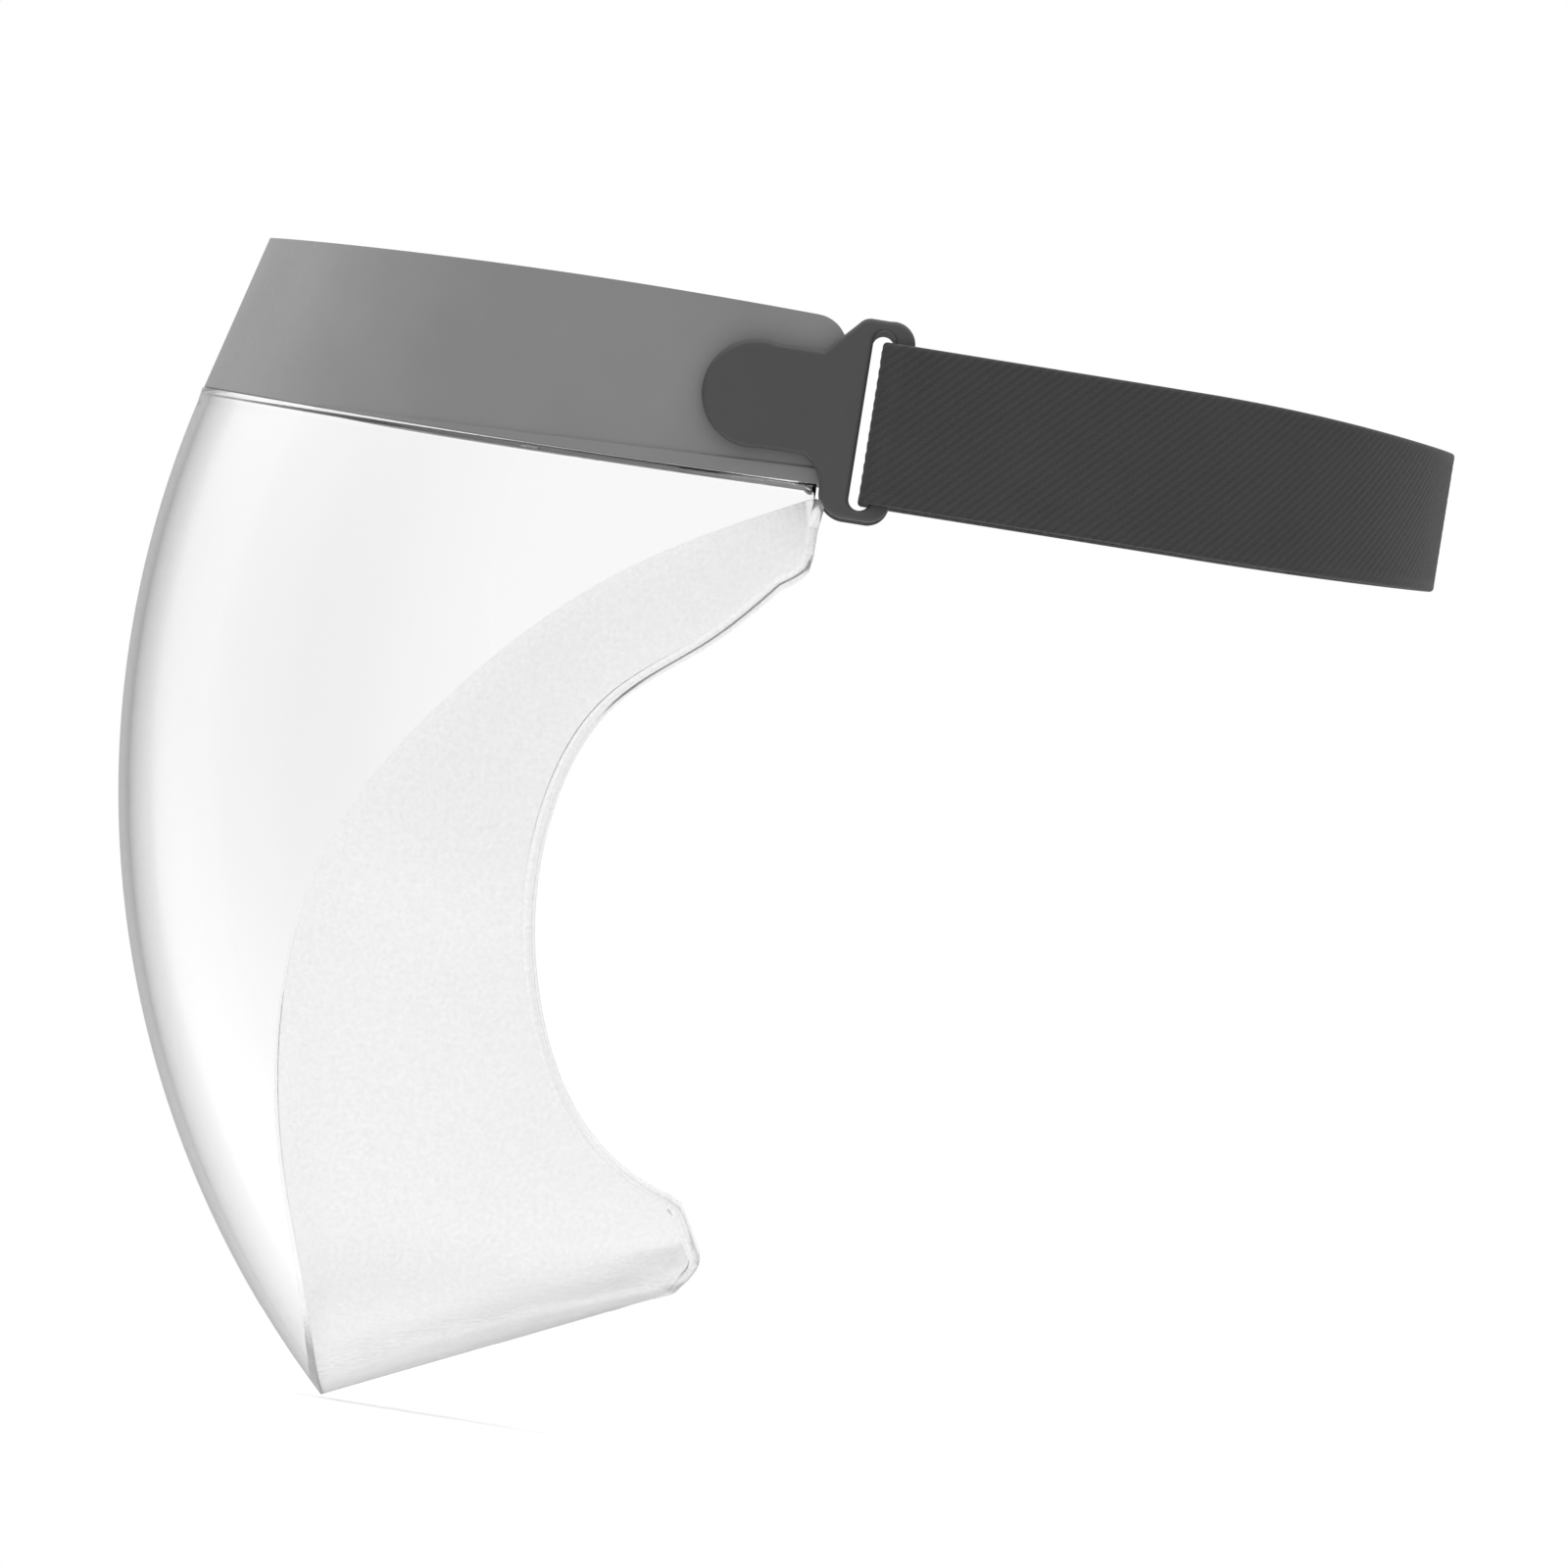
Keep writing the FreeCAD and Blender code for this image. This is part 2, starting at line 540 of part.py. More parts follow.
def buckle_body():
    """A flat plate: a round lobe on the pivot, a neck and a yoke with the strap slot."""
    body = doc.addObject("PartDesign::Body", "left_buckle")
    body.Label = "left_buckle"
    side_plane = next(f for f in body.Origin.OriginFeatures if f.Role == "YZ_Plane")
    sketch = body.newObject("Sketcher::SketchObject", "buckle_outline")
    sketch.AttachmentSupport = (side_plane, "")
    sketch.MapMode = "FlatFace"
    sketch.setExpression("AttachmentOffset.Base.z",
                         "sizes.half_width + sizes.axial_play + sizes.washer_wall")
    lobe, neck, lead = size("lobe_radius"), size("neck_half"), size("lobe_lead")
    reach, rear = size("neck_reach"), size("yoke_reach")
    top, bottom = size("yoke_rise"), -size("yoke_drop")
    lobe_end = math.sqrt(lobe ** 2 - neck ** 2) - lead
    flare, corner = reach + size("neck_flare"), size("yoke_corner")
    bulge = 0.28 * corner
    points = {
        "lobe_top": (lobe_end, neck), "lobe_low": (lobe_end, -neck),
        "neck_top": (reach, neck), "neck_low": (reach - 1.0, -neck),
        "flare_top": (flare, top - 1.2), "crown_left": (flare + 2.4, top),
        "crown_right": (rear - 1.2 * corner, top), "rear_top": (rear, top - corner),
        "rear_low": (rear, bottom + corner), "foot_right": (rear - corner, bottom),
        "foot_left": (flare + 2.4, bottom), "flare_low": (reach + 3.2, bottom + 5.0),
    }
    mids = {
        "lobe": (-lobe - lead, 0), "crown": (flare + 1.0, top - 0.35),
        "shoulder": (rear - bulge, top - bulge), "heel": (rear - bulge, bottom + bulge),
        "foot": (reach + 5.0, bottom + 1.4), "hollow": (reach + 1.9, -neck - 2.3),
    }

    def at(point):
        return Vector(point[0], point[1], 0)

    def line(a, b):
        sketch.addGeometry(Part.LineSegment(at(points[a]), at(points[b])), False)

    def arc(a, mid, b):
        sketch.addGeometry(Part.Arc(at(points[a]), at(mids[mid]), at(points[b])), False)

    arc("lobe_top", "lobe", "lobe_low")
    line("lobe_low", "neck_low")
    arc("neck_low", "hollow", "flare_low")
    arc("flare_low", "foot", "foot_left")
    line("foot_left", "foot_right")
    arc("foot_right", "heel", "rear_low")
    line("rear_low", "rear_top")
    arc("rear_top", "shoulder", "crown_right")
    line("crown_right", "crown_left")
    arc("crown_left", "crown", "flare_top")
    line("flare_top", "neck_top")
    line("neck_top", "lobe_top")
    slot_front, slot_rear = size("slot_front"), rear - size("bar_wall")
    slot_top, slot_low = top - size("slot_margin"), bottom + size("slot_margin")
    half = (slot_rear - slot_front) / 2
    centre = slot_front + half
    for a, b in (((slot_front, slot_low + half), (slot_front, slot_top - half)),
                 ((slot_rear, slot_top - half), (slot_rear, slot_low + half))):
        sketch.addGeometry(Part.LineSegment(at(a), at(b)), False)
    for level, tip in ((slot_top - half, slot_top), (slot_low + half, slot_low)):
        sketch.addGeometry(Part.Arc(at((slot_front, level)), at((centre, tip)),
                                    at((slot_rear, level))), False)

    plate = body.newObject("PartDesign::Pad", "buckle_plate")
    plate.Profile = sketch
    bind(plate, Length="sizes.buckle_wall")
    doc.recompute()

    bore = body.newObject("Sketcher::SketchObject", "thread_outline")
    bore.AttachmentSupport = (side_plane, "")
    bore.MapMode = "FlatFace"
    bore.setExpression("AttachmentOffset.Base.z",
                       "sizes.half_width + sizes.axial_play + sizes.washer_wall")
    circle = bore.addGeometry(Part.Circle(Vector(0, 0, 0), Vector(0, 0, 1), 1.0), False)
    bore.addConstraint(Sketcher.Constraint("Coincident", circle, 3, -1, 1))
    radius = bore.addConstraint(Sketcher.Constraint("Radius", circle, 1.0))
    bore.renameConstraint(radius, "thread")
    bore.setExpression("Constraints.thread", "sizes.thread_radius")
    pocket = body.newObject("PartDesign::Pocket", "thread_hole")
    pocket.Profile = bore
    pocket.Reversed = True
    bind(pocket, Length="sizes.thread_reach + 0.2")
    doc.recompute()

    rounding = body.newObject("PartDesign::Fillet", "buckle_rounding")
    rounding.Base = (pocket, outer_edges(pocket.Shape))
    bind(rounding, Radius="sizes.buckle_edge")
    doc.recompute()
    return body


def outer_edges(shape):
    """The names of the edges round the buckle's outer face, its slot among them."""
    outer = buckle_face + size("buckle_wall")
    names = []
    for index, edge in enumerate(shape.Edges, start=1):
        box = edge.BoundBox
        if box.XMin > outer - 0.001:
            names.append(f"Edge{index}")
    return names


def turned_piece(outline):
    """A round piece turned about the pivot axis from (x, radius) points."""
    wire = Part.makePolygon([Vector(x, 0, radius) for x, radius in outline + outline[:1]])
    return Part.Face(wire).revolve(Vector(0, 0, 0), Vector(1, 0, 0), 360)


def pivot_screw_shape():
    """A shoulder screw: its head bears inside the headband, its end threads into the buckle."""
    inside = half_width - size("band_wall") - size("axial_play")
    head_face = inside - size("pivot_head_tall")
    shoulder, thread = size("shoulder_radius"), size("thread_radius")
    chamfer = 0.4
    return turned_piece([
        (head_face, 0), (head_face, size("pivot_head") - chamfer),
        (head_face + chamfer, size("pivot_head")), (inside, size("pivot_head")),
        (inside, shoulder), (buckle_face, shoulder), (buckle_face, thread),
        (buckle_face + size("thread_reach"), thread), (buckle_face + size("thread_reach"), 0)])


def mirrored(label, source):
    twin = doc.addObject("Part::Mirroring", label)
    twin.Label = label
    twin.Source = source
    twin.Base = Vector(0, 0, 0)
    twin.Normal = Vector(1, 0, 0)
    return twin


# ---------------------------------------------------------------- strap

taper = math.radians(size("strap_taper"))
bar_corner = math.hypot(size("bar_wall"), size("buckle_wall")) / 2
wrap_radius = bar_corner + size("bar_play") + size("strap_wall") / 2
loop_rear = size("strap_reach") - size("strap_wall") / 2
loop_radius = ((bar_x * math.cos(taper) + (bar_y - loop_rear) * math.sin(taper) + wrap_radius)
               / (1 - math.sin(taper)))
loop_y = loop_rear - loop_radius


def loop_point(offset, angle):
    """A point of the strap loop's arc, angle measured from +X towards the back."""
    radius = loop_radius - offset
    return Vector(radius * math.cos(angle), loop_y + radius * math.sin(angle), 0)


def leg_point(offset, back=0.0):
    """A point of the left straight leg, back from the bar along the leg."""
    normal = Vector(math.cos(taper), math.sin(taper), 0)
    along = Vector(-math.sin(taper), math.cos(taper), 0)
    return Vector(bar_x, bar_y, 0) + normal * (wrap_radius - offset) + along * back


def flipped(point):
    return Vector(-point.x, point.y, point.z)


def ribbon(edges, wall):
    """A tall ribbon of this wall along a plan path."""
    path = Part.Wire(edges)
    start = path.OrderedEdges[0]
    first = start.FirstParameter
    heading = start.tangentAt(first)
    side = Vector(-heading.y, heading.x, 0) * (wall / 2)
    base = start.valueAt(first)
    low, high = Vector(0, 0, -40), Vector(0, 0, 40)
    section = Part.makePolygon([base + side + low, base - side + low, base - side + high,
                                base + side + high, base + side + low])
    return path.makePipeShell([section], True, False)


def strap_trim():
    """The strap's two long edges seen from the side: straight, then necking at the back."""
    top, low = size("strap_top"), -size("strap_bottom")
    rear = size("strap_reach")
    straight = 0.62 * rear
    return across(side_outline(
        (0, low), (straight, low), ((0.86 * rear, low + 0.25 * size("strap_neck")),
                                    (rear + 2, low + size("strap_neck"))),
        (rear + 2, top - size("strap_dip")),
        ((0.86 * rear, top - 0.36 * size("strap_dip")), (straight, top)), (0, top)))


def strap_shape():
    """One length of webbing: folded tail, round the bar, round the head, bar, folded tail."""
    tail_angle = math.radians(size("tail_length"))
    inner = 2 * wrap_radius
    left = taper
    arc = Part.Arc(loop_point(0, left), loop_point(0, math.pi / 2), loop_point(0, math.pi - left))
    tail_mid = (left + tail_angle) / 2
    tail = Part.Arc(loop_point(inner, tail_angle), loop_point(inner, tail_mid),
                    loop_point(inner, left))
    tail_leg = Part.LineSegment(loop_point(inner, left), leg_point(inner))
    normal_front = Vector(math.sin(taper), -math.cos(taper), 0) * wrap_radius
    wrap = Part.Arc(leg_point(inner), Vector(bar_x, bar_y, 0) + normal_front, leg_point(0))
    leg = Part.LineSegment(leg_point(0), loop_point(0, left))
    right_half = [
        Part.LineSegment(loop_point(0, math.pi - left), flipped(leg_point(0))),
        Part.Arc(flipped(leg_point(0)), flipped(Vector(bar_x, bar_y, 0) + normal_front),
                 flipped(leg_point(inner))),
        Part.LineSegment(flipped(leg_point(inner)), flipped(loop_point(inner, left))),
        Part.Arc(flipped(loop_point(inner, left)), flipped(loop_point(inner, tail_mid)),
                 flipped(loop_point(inner, tail_angle)))]
    edges = [g.toShape() for g in [tail, tail_leg, wrap, leg, arc] + right_half]
    return ribbon(edges, size("strap_wall")).common(strap_trim())


def patch_shape(share):
    """A hook or loop patch between the strap and its folded tail, at this share of the gap."""
    gap = 2 * wrap_radius - size("strap_wall")
    wall = gap / 2 - size("patch_play")
    offset = size("strap_wall") / 2 + share * gap
    end = math.radians(size("tail_length") - 3)
    leg = Part.LineSegment(leg_point(offset, 5), loop_point(offset, taper))
    arc = Part.Arc(loop_point(offset, taper), loop_point(offset, (end + taper) / 2),
                   loop_point(offset, end))
    piece = ribbon([leg.toShape(), arc.toShape()], wall)
    margin = 2.5
    low, high = -size("strap_bottom") + margin, size("strap_top") - margin
    return piece.common(Part.makeBox(FAR, FAR, high - low, Vector(0, 0, low)))


# ---------------------------------------------------------------- the pieces

lens = lens_shape()
skirt, seal = skirt_and_seal()
pieces = [
    add_piece("lens_window", lens),
    add_piece("face_skirt", skirt),
    add_piece("skirt_edge_seal", seal),
    add_piece("headband", headband_shape()),
    add_piece("lens_gasket", gasket_shape()),
    add_piece("lens_retainer", retainer_shape()),
    add_piece("retainer_screws", retainer_screws_shape()),
    add_piece("pad_backing", pad_layer(retainer_in, backing_in, -size("pad_low") + 1.5,
                                       size("pad_high") - 1.5)),
    add_piece("brow_pad", pad_layer(backing_in, pad_in, -size("pad_low"), size("pad_high"))),
]

washer_disc = doc.addObject("Part::Cylinder", "washer_disc")
bind(washer_disc, Radius="sizes.washer_radius", Height="sizes.washer_wall")
washer_hole = doc.addObject("Part::Cylinder", "washer_hole")
bind(washer_hole, Radius="sizes.shoulder_radius + sizes.pivot_play", Height="sizes.washer_wall")
left_washer = doc.addObject("Part::Cut", "left_friction_washer")
left_washer.Base = washer_disc
left_washer.Tool = washer_hole
left_washer.Placement = Placement(Vector(buckle_face - size("washer_wall"), 0, 0),
                                  Rotation(Vector(0, 1, 0), 90))

left_buckle = buckle_body()
left_screw = add_piece("left_pivot_screw", pivot_screw_shape())
left_hooks = add_piece("left_hook_patch", patch_shape(0.75))
left_loops = add_piece("left_loop_patch", patch_shape(0.25))
pieces += [left_buckle, left_screw, left_washer, left_hooks, left_loops]
for piece in (left_buckle, left_screw, left_washer, left_hooks, left_loops):
    pieces.append(mirrored(piece.Label.replace("left", "right"), piece))
pieces.append(add_piece("elastic_strap", strap_shape()))

# ---------------------------------------------------------------- checks and export

doc.recompute()
for thing in doc.Objects:
    if "Invalid" in thing.State or "Error" in thing.State:
        raise RuntimeError(f"{thing.Label} did not build: {thing.State}")
for piece in pieces:
    shape = piece.Shape
    if shape.isNull() or not shape.isValid() or shape.Volume <= 0:
        raise RuntimeError(f"{piece.Label} has no valid solid")

os.makedirs("parts", exist_ok=True)
for piece in pieces:
    piece.Shape.exportStep(f"parts/{piece.Label}.step")
    box = piece.Shape.BoundBox
    print(f"{piece.Label:22s} solids {len(piece.Shape.Solids)}  volume {piece.Shape.Volume:9.1f}"
          f"  x {box.XMin:7.1f} {box.XMax:7.1f}  y {box.YMin:7.1f} {box.YMax:7.1f}"
          f"  z {box.ZMin:7.1f} {box.ZMax:7.1f}")
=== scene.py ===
"""The look of a clear full-face visor on a grey headband with an elastic strap.

The frame is the CAD frame in metres: -Y is the way the wearer looks, +X the wearer's left, +Z up.
"""
import math

import bmesh
import bpy
import numpy as np
from mathutils import Matrix, Vector


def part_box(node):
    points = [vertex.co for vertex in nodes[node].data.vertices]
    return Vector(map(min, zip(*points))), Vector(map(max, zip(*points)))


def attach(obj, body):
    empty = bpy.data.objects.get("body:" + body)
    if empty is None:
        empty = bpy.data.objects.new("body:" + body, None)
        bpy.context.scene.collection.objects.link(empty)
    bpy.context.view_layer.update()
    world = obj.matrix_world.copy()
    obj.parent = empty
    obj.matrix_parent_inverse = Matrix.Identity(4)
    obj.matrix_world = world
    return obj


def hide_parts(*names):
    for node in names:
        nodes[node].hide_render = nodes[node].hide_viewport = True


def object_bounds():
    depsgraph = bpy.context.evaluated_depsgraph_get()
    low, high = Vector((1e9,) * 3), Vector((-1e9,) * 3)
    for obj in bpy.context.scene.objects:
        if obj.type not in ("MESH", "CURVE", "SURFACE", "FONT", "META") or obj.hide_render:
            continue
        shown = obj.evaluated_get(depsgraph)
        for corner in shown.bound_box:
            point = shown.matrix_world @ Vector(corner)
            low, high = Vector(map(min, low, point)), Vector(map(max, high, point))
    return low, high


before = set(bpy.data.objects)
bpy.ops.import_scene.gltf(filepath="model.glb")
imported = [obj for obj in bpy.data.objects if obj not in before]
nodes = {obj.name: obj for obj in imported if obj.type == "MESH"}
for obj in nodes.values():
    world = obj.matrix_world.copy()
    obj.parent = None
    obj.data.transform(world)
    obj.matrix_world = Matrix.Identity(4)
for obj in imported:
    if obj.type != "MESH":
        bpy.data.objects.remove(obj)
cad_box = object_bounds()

MM = 0.001
scene = bpy.context.scene

# ---------------------------------------------------------------- camera

VIEW_CENTRE = Vector((0.0, 0.0162, -0.0743))
VIEW_WIDTH = 0.3077
VIEW_DISTANCE = 12.0
SENSOR = 36.0
ROLL = math.radians(9.1)


def make_camera():
    data = bpy.data.cameras.new("camera")
    data.sensor_width = SENSOR
    data.lens = SENSOR * VIEW_DISTANCE / VIEW_WIDTH
    data.clip_start, data.clip_end = 0.5, 60.0
    camera = bpy.data.objects.new("camera", data)
    right = Vector((0, math.cos(ROLL), math.sin(ROLL)))
    up = Vector((0, -math.sin(ROLL), math.cos(ROLL)))
    back = Vector((1, 0, 0))
    axes = Matrix((right, up, back)).transposed().to_4x4()
    camera.matrix_world = Matrix.Translation(VIEW_CENTRE + back * VIEW_DISTANCE) @ axes
    scene.collection.objects.link(camera)
    scene.camera = camera


make_camera()
scene.view_settings.view_transform = "Standard"
scene.view_settings.look = "None"


# ---------------------------------------------------------------- node helpers

def tree_of(material):
    material.use_nodes = True
    material.node_tree.nodes.clear()
    return material.node_tree


def add(tree, kind, inputs=None, **settings):
    """A node with its settings, and its inputs given as values or as other sockets."""
    node = tree.nodes.new(kind)
    for key, value in settings.items():
        setattr(node, key, value)
    for key, value in (inputs or {}).items():
        if isinstance(value, bpy.types.NodeSocket):
            tree.links.new(value, node.inputs[key])
        else:
            node.inputs[key].default_value = value
    return node


def maths(tree, operation, a, b=0.0, clamp=False):
    return add(tree, "ShaderNodeMath", {0: a, 1: b}, operation=operation,
               use_clamp=clamp).outputs[0]


def span(tree, value, low, high, to_low, to_high, smooth=False):
    return add(tree, "ShaderNodeMapRange",
               {"Value": value, "From Min": low, "From Max": high,
                "To Min": to_low, "To Max": to_high},
               interpolation_type="SMOOTHSTEP" if smooth else "LINEAR").outputs["Result"]


def noise(tree, where, scale, detail=3.0, rough=0.55):
    return add(tree, "ShaderNodeTexNoise", {"Vector": where, "Scale": scale, "Detail": detail,
                                            "Roughness": rough}).outputs["Fac"]


def blend_colour(tree, share, one, other):
    mix = add(tree, "ShaderNodeMix", {"Factor": share}, data_type="RGBA")
    mix.inputs["A"].default_value = (*one, 1)
    mix.inputs["B"].default_value = (*other, 1)
    return mix.outputs["Result"]


def bump(tree, height, distance, strength=1.0, normal=None):
    inputs = {"Height": height, "Distance": distance, "Strength": strength}
    if normal is not None:
        inputs["Normal"] = normal
    return add(tree, "ShaderNodeBump", inputs).outputs["Normal"]


def finish_material(tree, sockets):
    shader = add(tree, "ShaderNodeBsdfPrincipled", sockets)
    add(tree, "ShaderNodeOutputMaterial", {"Surface": shader.outputs[0]})


def linear(grey, tint=(1.0, 1.0, 1.0)):
    """A display grey, 0 to 255, as a linear colour."""
    share = grey / 255
    value = share / 12.92 if share <= 0.04045 else ((share + 0.055) / 1.055) ** 2.4
    return tuple(value * t for t in tint)


# ---------------------------------------------------------------- materials

def moulded(name, grey, rough, grain, depth, edge, tint=(1.0, 1.0, 1.0)):
    """Injection moulded plastic: faint flow mottling, a fine spark-eroded grain, soft edges."""
    material = bpy.data.materials.new(name)
    tree = tree_of(material)
    where = add(tree, "ShaderNodeTexCoord").outputs["Object"]
    mottle = noise(tree, where, 34.0, 4.0)
    fine = noise(tree, where, grain, 2.0, 0.6)
    pits = noise(tree, where, grain * 0.28, 3.0, 0.5)
    colour = blend_colour(tree, span(tree, mottle, 0.3, 0.7, 0.0, 1.0),
                          linear(grey * 0.975, tint), linear(grey * 1.025, tint))
    gloss = span(tree, pits, 0.25, 0.75, rough - 0.06, rough + 0.07)
    height = maths(tree, "ADD", maths(tree, "MULTIPLY", fine, 0.65),
                   maths(tree, "MULTIPLY", pits, 0.35))
    rounded = add(tree, "ShaderNodeBevel", {"Radius": edge}, samples=4).outputs["Normal"]
    finish_material(tree, {"Base Color": colour, "Roughness": gloss, "IOR": 1.48,
                           "Normal": bump(tree, height, depth, 0.9, rounded)})
    return material


def clear_plastic(name, rough, smear, cloud, haze_scale, haze_depth, ior, tint):
    """A clear moulding: smears that catch the light, and for a soft one a cloudy speckle."""
    material = bpy.data.materials.new(name)
    tree = tree_of(material)
    where = add(tree, "ShaderNodeTexCoord").outputs["Object"]
    smears = noise(tree, where, 26.0, 5.0, 0.6)
    speckle = noise(tree, where, haze_scale, 3.0, 0.7)
    gloss = span(tree, smears, 0.45, 0.75, rough, rough + smear, smooth=True)
    clear = span(tree, speckle, 0.35, 0.7, 1.0 - cloud * 0.5, 1.0 - cloud * 1.5)
    finish_material(tree, {"Base Color": (*tint, 1), "Roughness": gloss, "IOR": ior,
                           "Transmission Weight": clear if cloud else 1.0,
                           "Normal": bump(tree, speckle, haze_depth)})
    return material


def steel(name):
    material = bpy.data.materials.new(name)
    tree = tree_of(material)
    where = add(tree, "ShaderNodeTexCoord").outputs["Object"]
    turned = noise(tree, where, 1400.0, 2.0)
    stain = noise(tree, where, 260.0, 4.0)
    colour = blend_colour(tree, stain, (0.46, 0.47, 0.48), (0.62, 0.62, 0.62))
    finish_material(tree, {"Base Color": colour, "Metallic": 1.0,
                           "Roughness": span(tree, turned, 0.3, 0.7, 0.22, 0.42),
                           "Normal": bump(tree, turned, 0.00001)})
    return material


def rubber(name, grey):
    material = bpy.data.materials.new(name)
    tree = tree_of(material)
    where = add(tree, "ShaderNodeTexCoord").outputs["Object"]
    bloom = noise(tree, where, 60.0, 5.0)
    grit = noise(tree, where, 2600.0, 2.0)
    colour = blend_colour(tree, bloom, linear(grey * 0.93), linear(grey * 1.05))
    finish_material(tree, {"Base Color": colour,
                           "Roughness": span(tree, bloom, 0.3, 0.7, 0.62, 0.78),
                           "Normal": bump(tree, grit, 0.00003)})
    return material


def pile(name, grey, tuft, depth):
    """Hook-and-loop tape: a dense field of tiny tufts, with shade painted into the gaps between
    them.
    """
    material = bpy.data.materials.new(name)
    tree = tree_of(material)
    where = add(tree, "ShaderNodeTexCoord").outputs["Object"]
    cells = add(tree, "ShaderNodeTexVoronoi", {"Vector": where, "Scale": tuft},
                feature="F1").outputs["Distance"]
    lint = noise(tree, where, 90.0, 5.0)
    # The colour is painted shade: darker in the low gaps between tufts, lighter on the tufts'
    # tips.
    colour = blend_colour(tree, span(tree, cells, 0.1, 0.7, 1.0, 0.0), linear(grey * 0.6),
                          linear(grey * 1.25))
    height = maths(tree, "ADD", maths(tree, "SUBTRACT", 1.0, cells),
                   maths(tree, "MULTIPLY", lint, 0.4))
    finish_material(tree, {"Base Color": colour, "Roughness": 0.85, "Sheen Weight": 0.35,
                           "Sheen Roughness": 0.4, "Normal": bump(tree, height, depth)})
    return material


def knit(name, grey):
    """Fine knitted cloth bonded over foam, with shade painted into the hollows between its loops.
    """
    material = bpy.data.materials.new(name)
    tree = tree_of(material)
    where = add(tree, "ShaderNodeTexCoord").outputs["Object"]
    parts = add(tree, "ShaderNodeSeparateXYZ", {"Vector": where}).outputs
    turn = maths(tree, "ARCTAN2", parts["X"], maths(tree, "MULTIPLY", parts["Y"], -1.0))
    wale = maths(tree, "SINE", maths(tree, "MULTIPLY", turn, 560.0))
    course = maths(tree, "SINE", maths(tree, "MULTIPLY", parts["Z"], 7400.0))
    loops = maths(tree, "MULTIPLY", wale, course)
    fuzz = noise(tree, where, 1900.0, 4.0)
    height = maths(tree, "ADD", maths(tree, "MULTIPLY", loops, 0.5), fuzz)
    # The colour is painted shade in the hollows between the knit loops, darker where the relief is
    # low, with a random fuzz tone mixed in.
    painted_loop_shade_and_fuzz = span(tree, maths(tree, "ADD", loops, fuzz), -0.4, 1.6, 0.0, 1.0)
    colour = blend_colour(tree, painted_loop_shade_and_fuzz, linear(grey * 0.72), linear(grey * 1.18))
    finish_material(tree, {"Base Color": colour, "Roughness": 0.9, "Sheen Weight": 0.3,
                           "Sheen Roughness": 0.5, "Normal": bump(tree, height, 0.00012)})
    return material


def webbing(name, grey):
    """Twill elastic webbing, with light and shade painted along its twill diagonals. Its UV map
    holds millimetres along and across the strap.
    """
    material = bpy.data.materials.new(name)
    tree = tree_of(material)
    where = add(tree, "ShaderNodeTexCoord").outputs["Object"]
    laid = add(tree, "ShaderNodeUVMap", uv_map="weave").outputs["UV"]
    parts = add(tree, "ShaderNodeSeparateXYZ", {"Vector": laid}).outputs
    along, across = parts["X"], parts["Y"]
    yarn = maths(tree, "SINE", maths(tree, "MULTIPLY", across, 2 * math.pi / 0.62))
    pick = maths(tree, "SINE", maths(tree, "MULTIPLY", along, 2 * math.pi / 0.7))
    diagonal = maths(tree, "SUBTRACT", along, across)
    ridge = maths(tree, "SINE", maths(tree, "MULTIPLY", diagonal, 2 * math.pi / 2.1))
    fibre = noise(tree, where, 2400.0, 4.0)
    cast = noise(tree, where, 55.0, 4.0)
    weave = maths(tree, "MULTIPLY", yarn, pick)
    height = maths(tree, "ADD", maths(tree, "MULTIPLY", weave, 0.45), fibre)
    # The ridge term is painted light and shade along the twill diagonals. The fibre and cast terms
    # are a random yarn tone.
    light = maths(tree, "ADD", maths(tree, "MULTIPLY", ridge, 0.24),
                  maths(tree, "ADD", maths(tree, "MULTIPLY", fibre, 0.8),
                        maths(tree, "MULTIPLY", cast, 0.5)))
    colour = blend_colour(tree, span(tree, light, 0.2, 1.1, 0.0, 1.0),
                          linear(grey * 0.86), linear(grey * 1.12))
    finish_material(tree, {"Base Color": colour, "Roughness": 0.82, "Sheen Weight": 0.12,
                           "Sheen Roughness": 0.45, "Normal": bump(tree, height, 0.00009)})
    return material


looks = {
    "clear_window": clear_plastic("clear_window_look", 0.0, 0.02, 0.0, 8.0, 0.00001,
                                  1.5, (1.0, 1.0, 1.0)),
    "skirt_film": clear_plastic("skirt_film_look", 0.14, 0.10, 0.08, 1100.0, 0.00003,
                                1.5, (0.97, 0.97, 0.97)),
    "seal_bead": clear_plastic("seal_bead_look", 0.16, 0.10, 0.12, 1200.0, 0.00003,
                               1.5, (0.97, 0.97, 0.97)),
    "headband_plastic": moulded("headband_look", 141, 0.46, 2100.0, 0.000035, 0.0005,
                                (1.0, 1.0, 1.0)),
    "gasket_rubber": rubber("gasket_look", 150),
    "retainer_plastic": moulded("retainer_look", 122, 0.55, 1700.0, 0.00004, 0.0004),
    "screw_steel": steel("screw_look"),
    "hook_loop": pile("hook_loop_look", 44, 1500.0, 0.0003),
    "brow_foam": knit("brow_cloth_look", 72),
    "buckle_plastic": moulded("buckle_look", 76, 0.42, 1500.0, 0.00004, 0.0004),
    "washer_nylon": moulded("washer_look", 205, 0.4, 1900.0, 0.00002, 0.0002,
                            (1.0, 1.0, 0.97)),
    "webbing": webbing("webbing_look", 64),
}
for node in nodes.values():
    for place in node.material_slots:
        place.material = looks[place.material.name.split(".")[0]]


# ---------------------------------------------------------------- mesh helpers

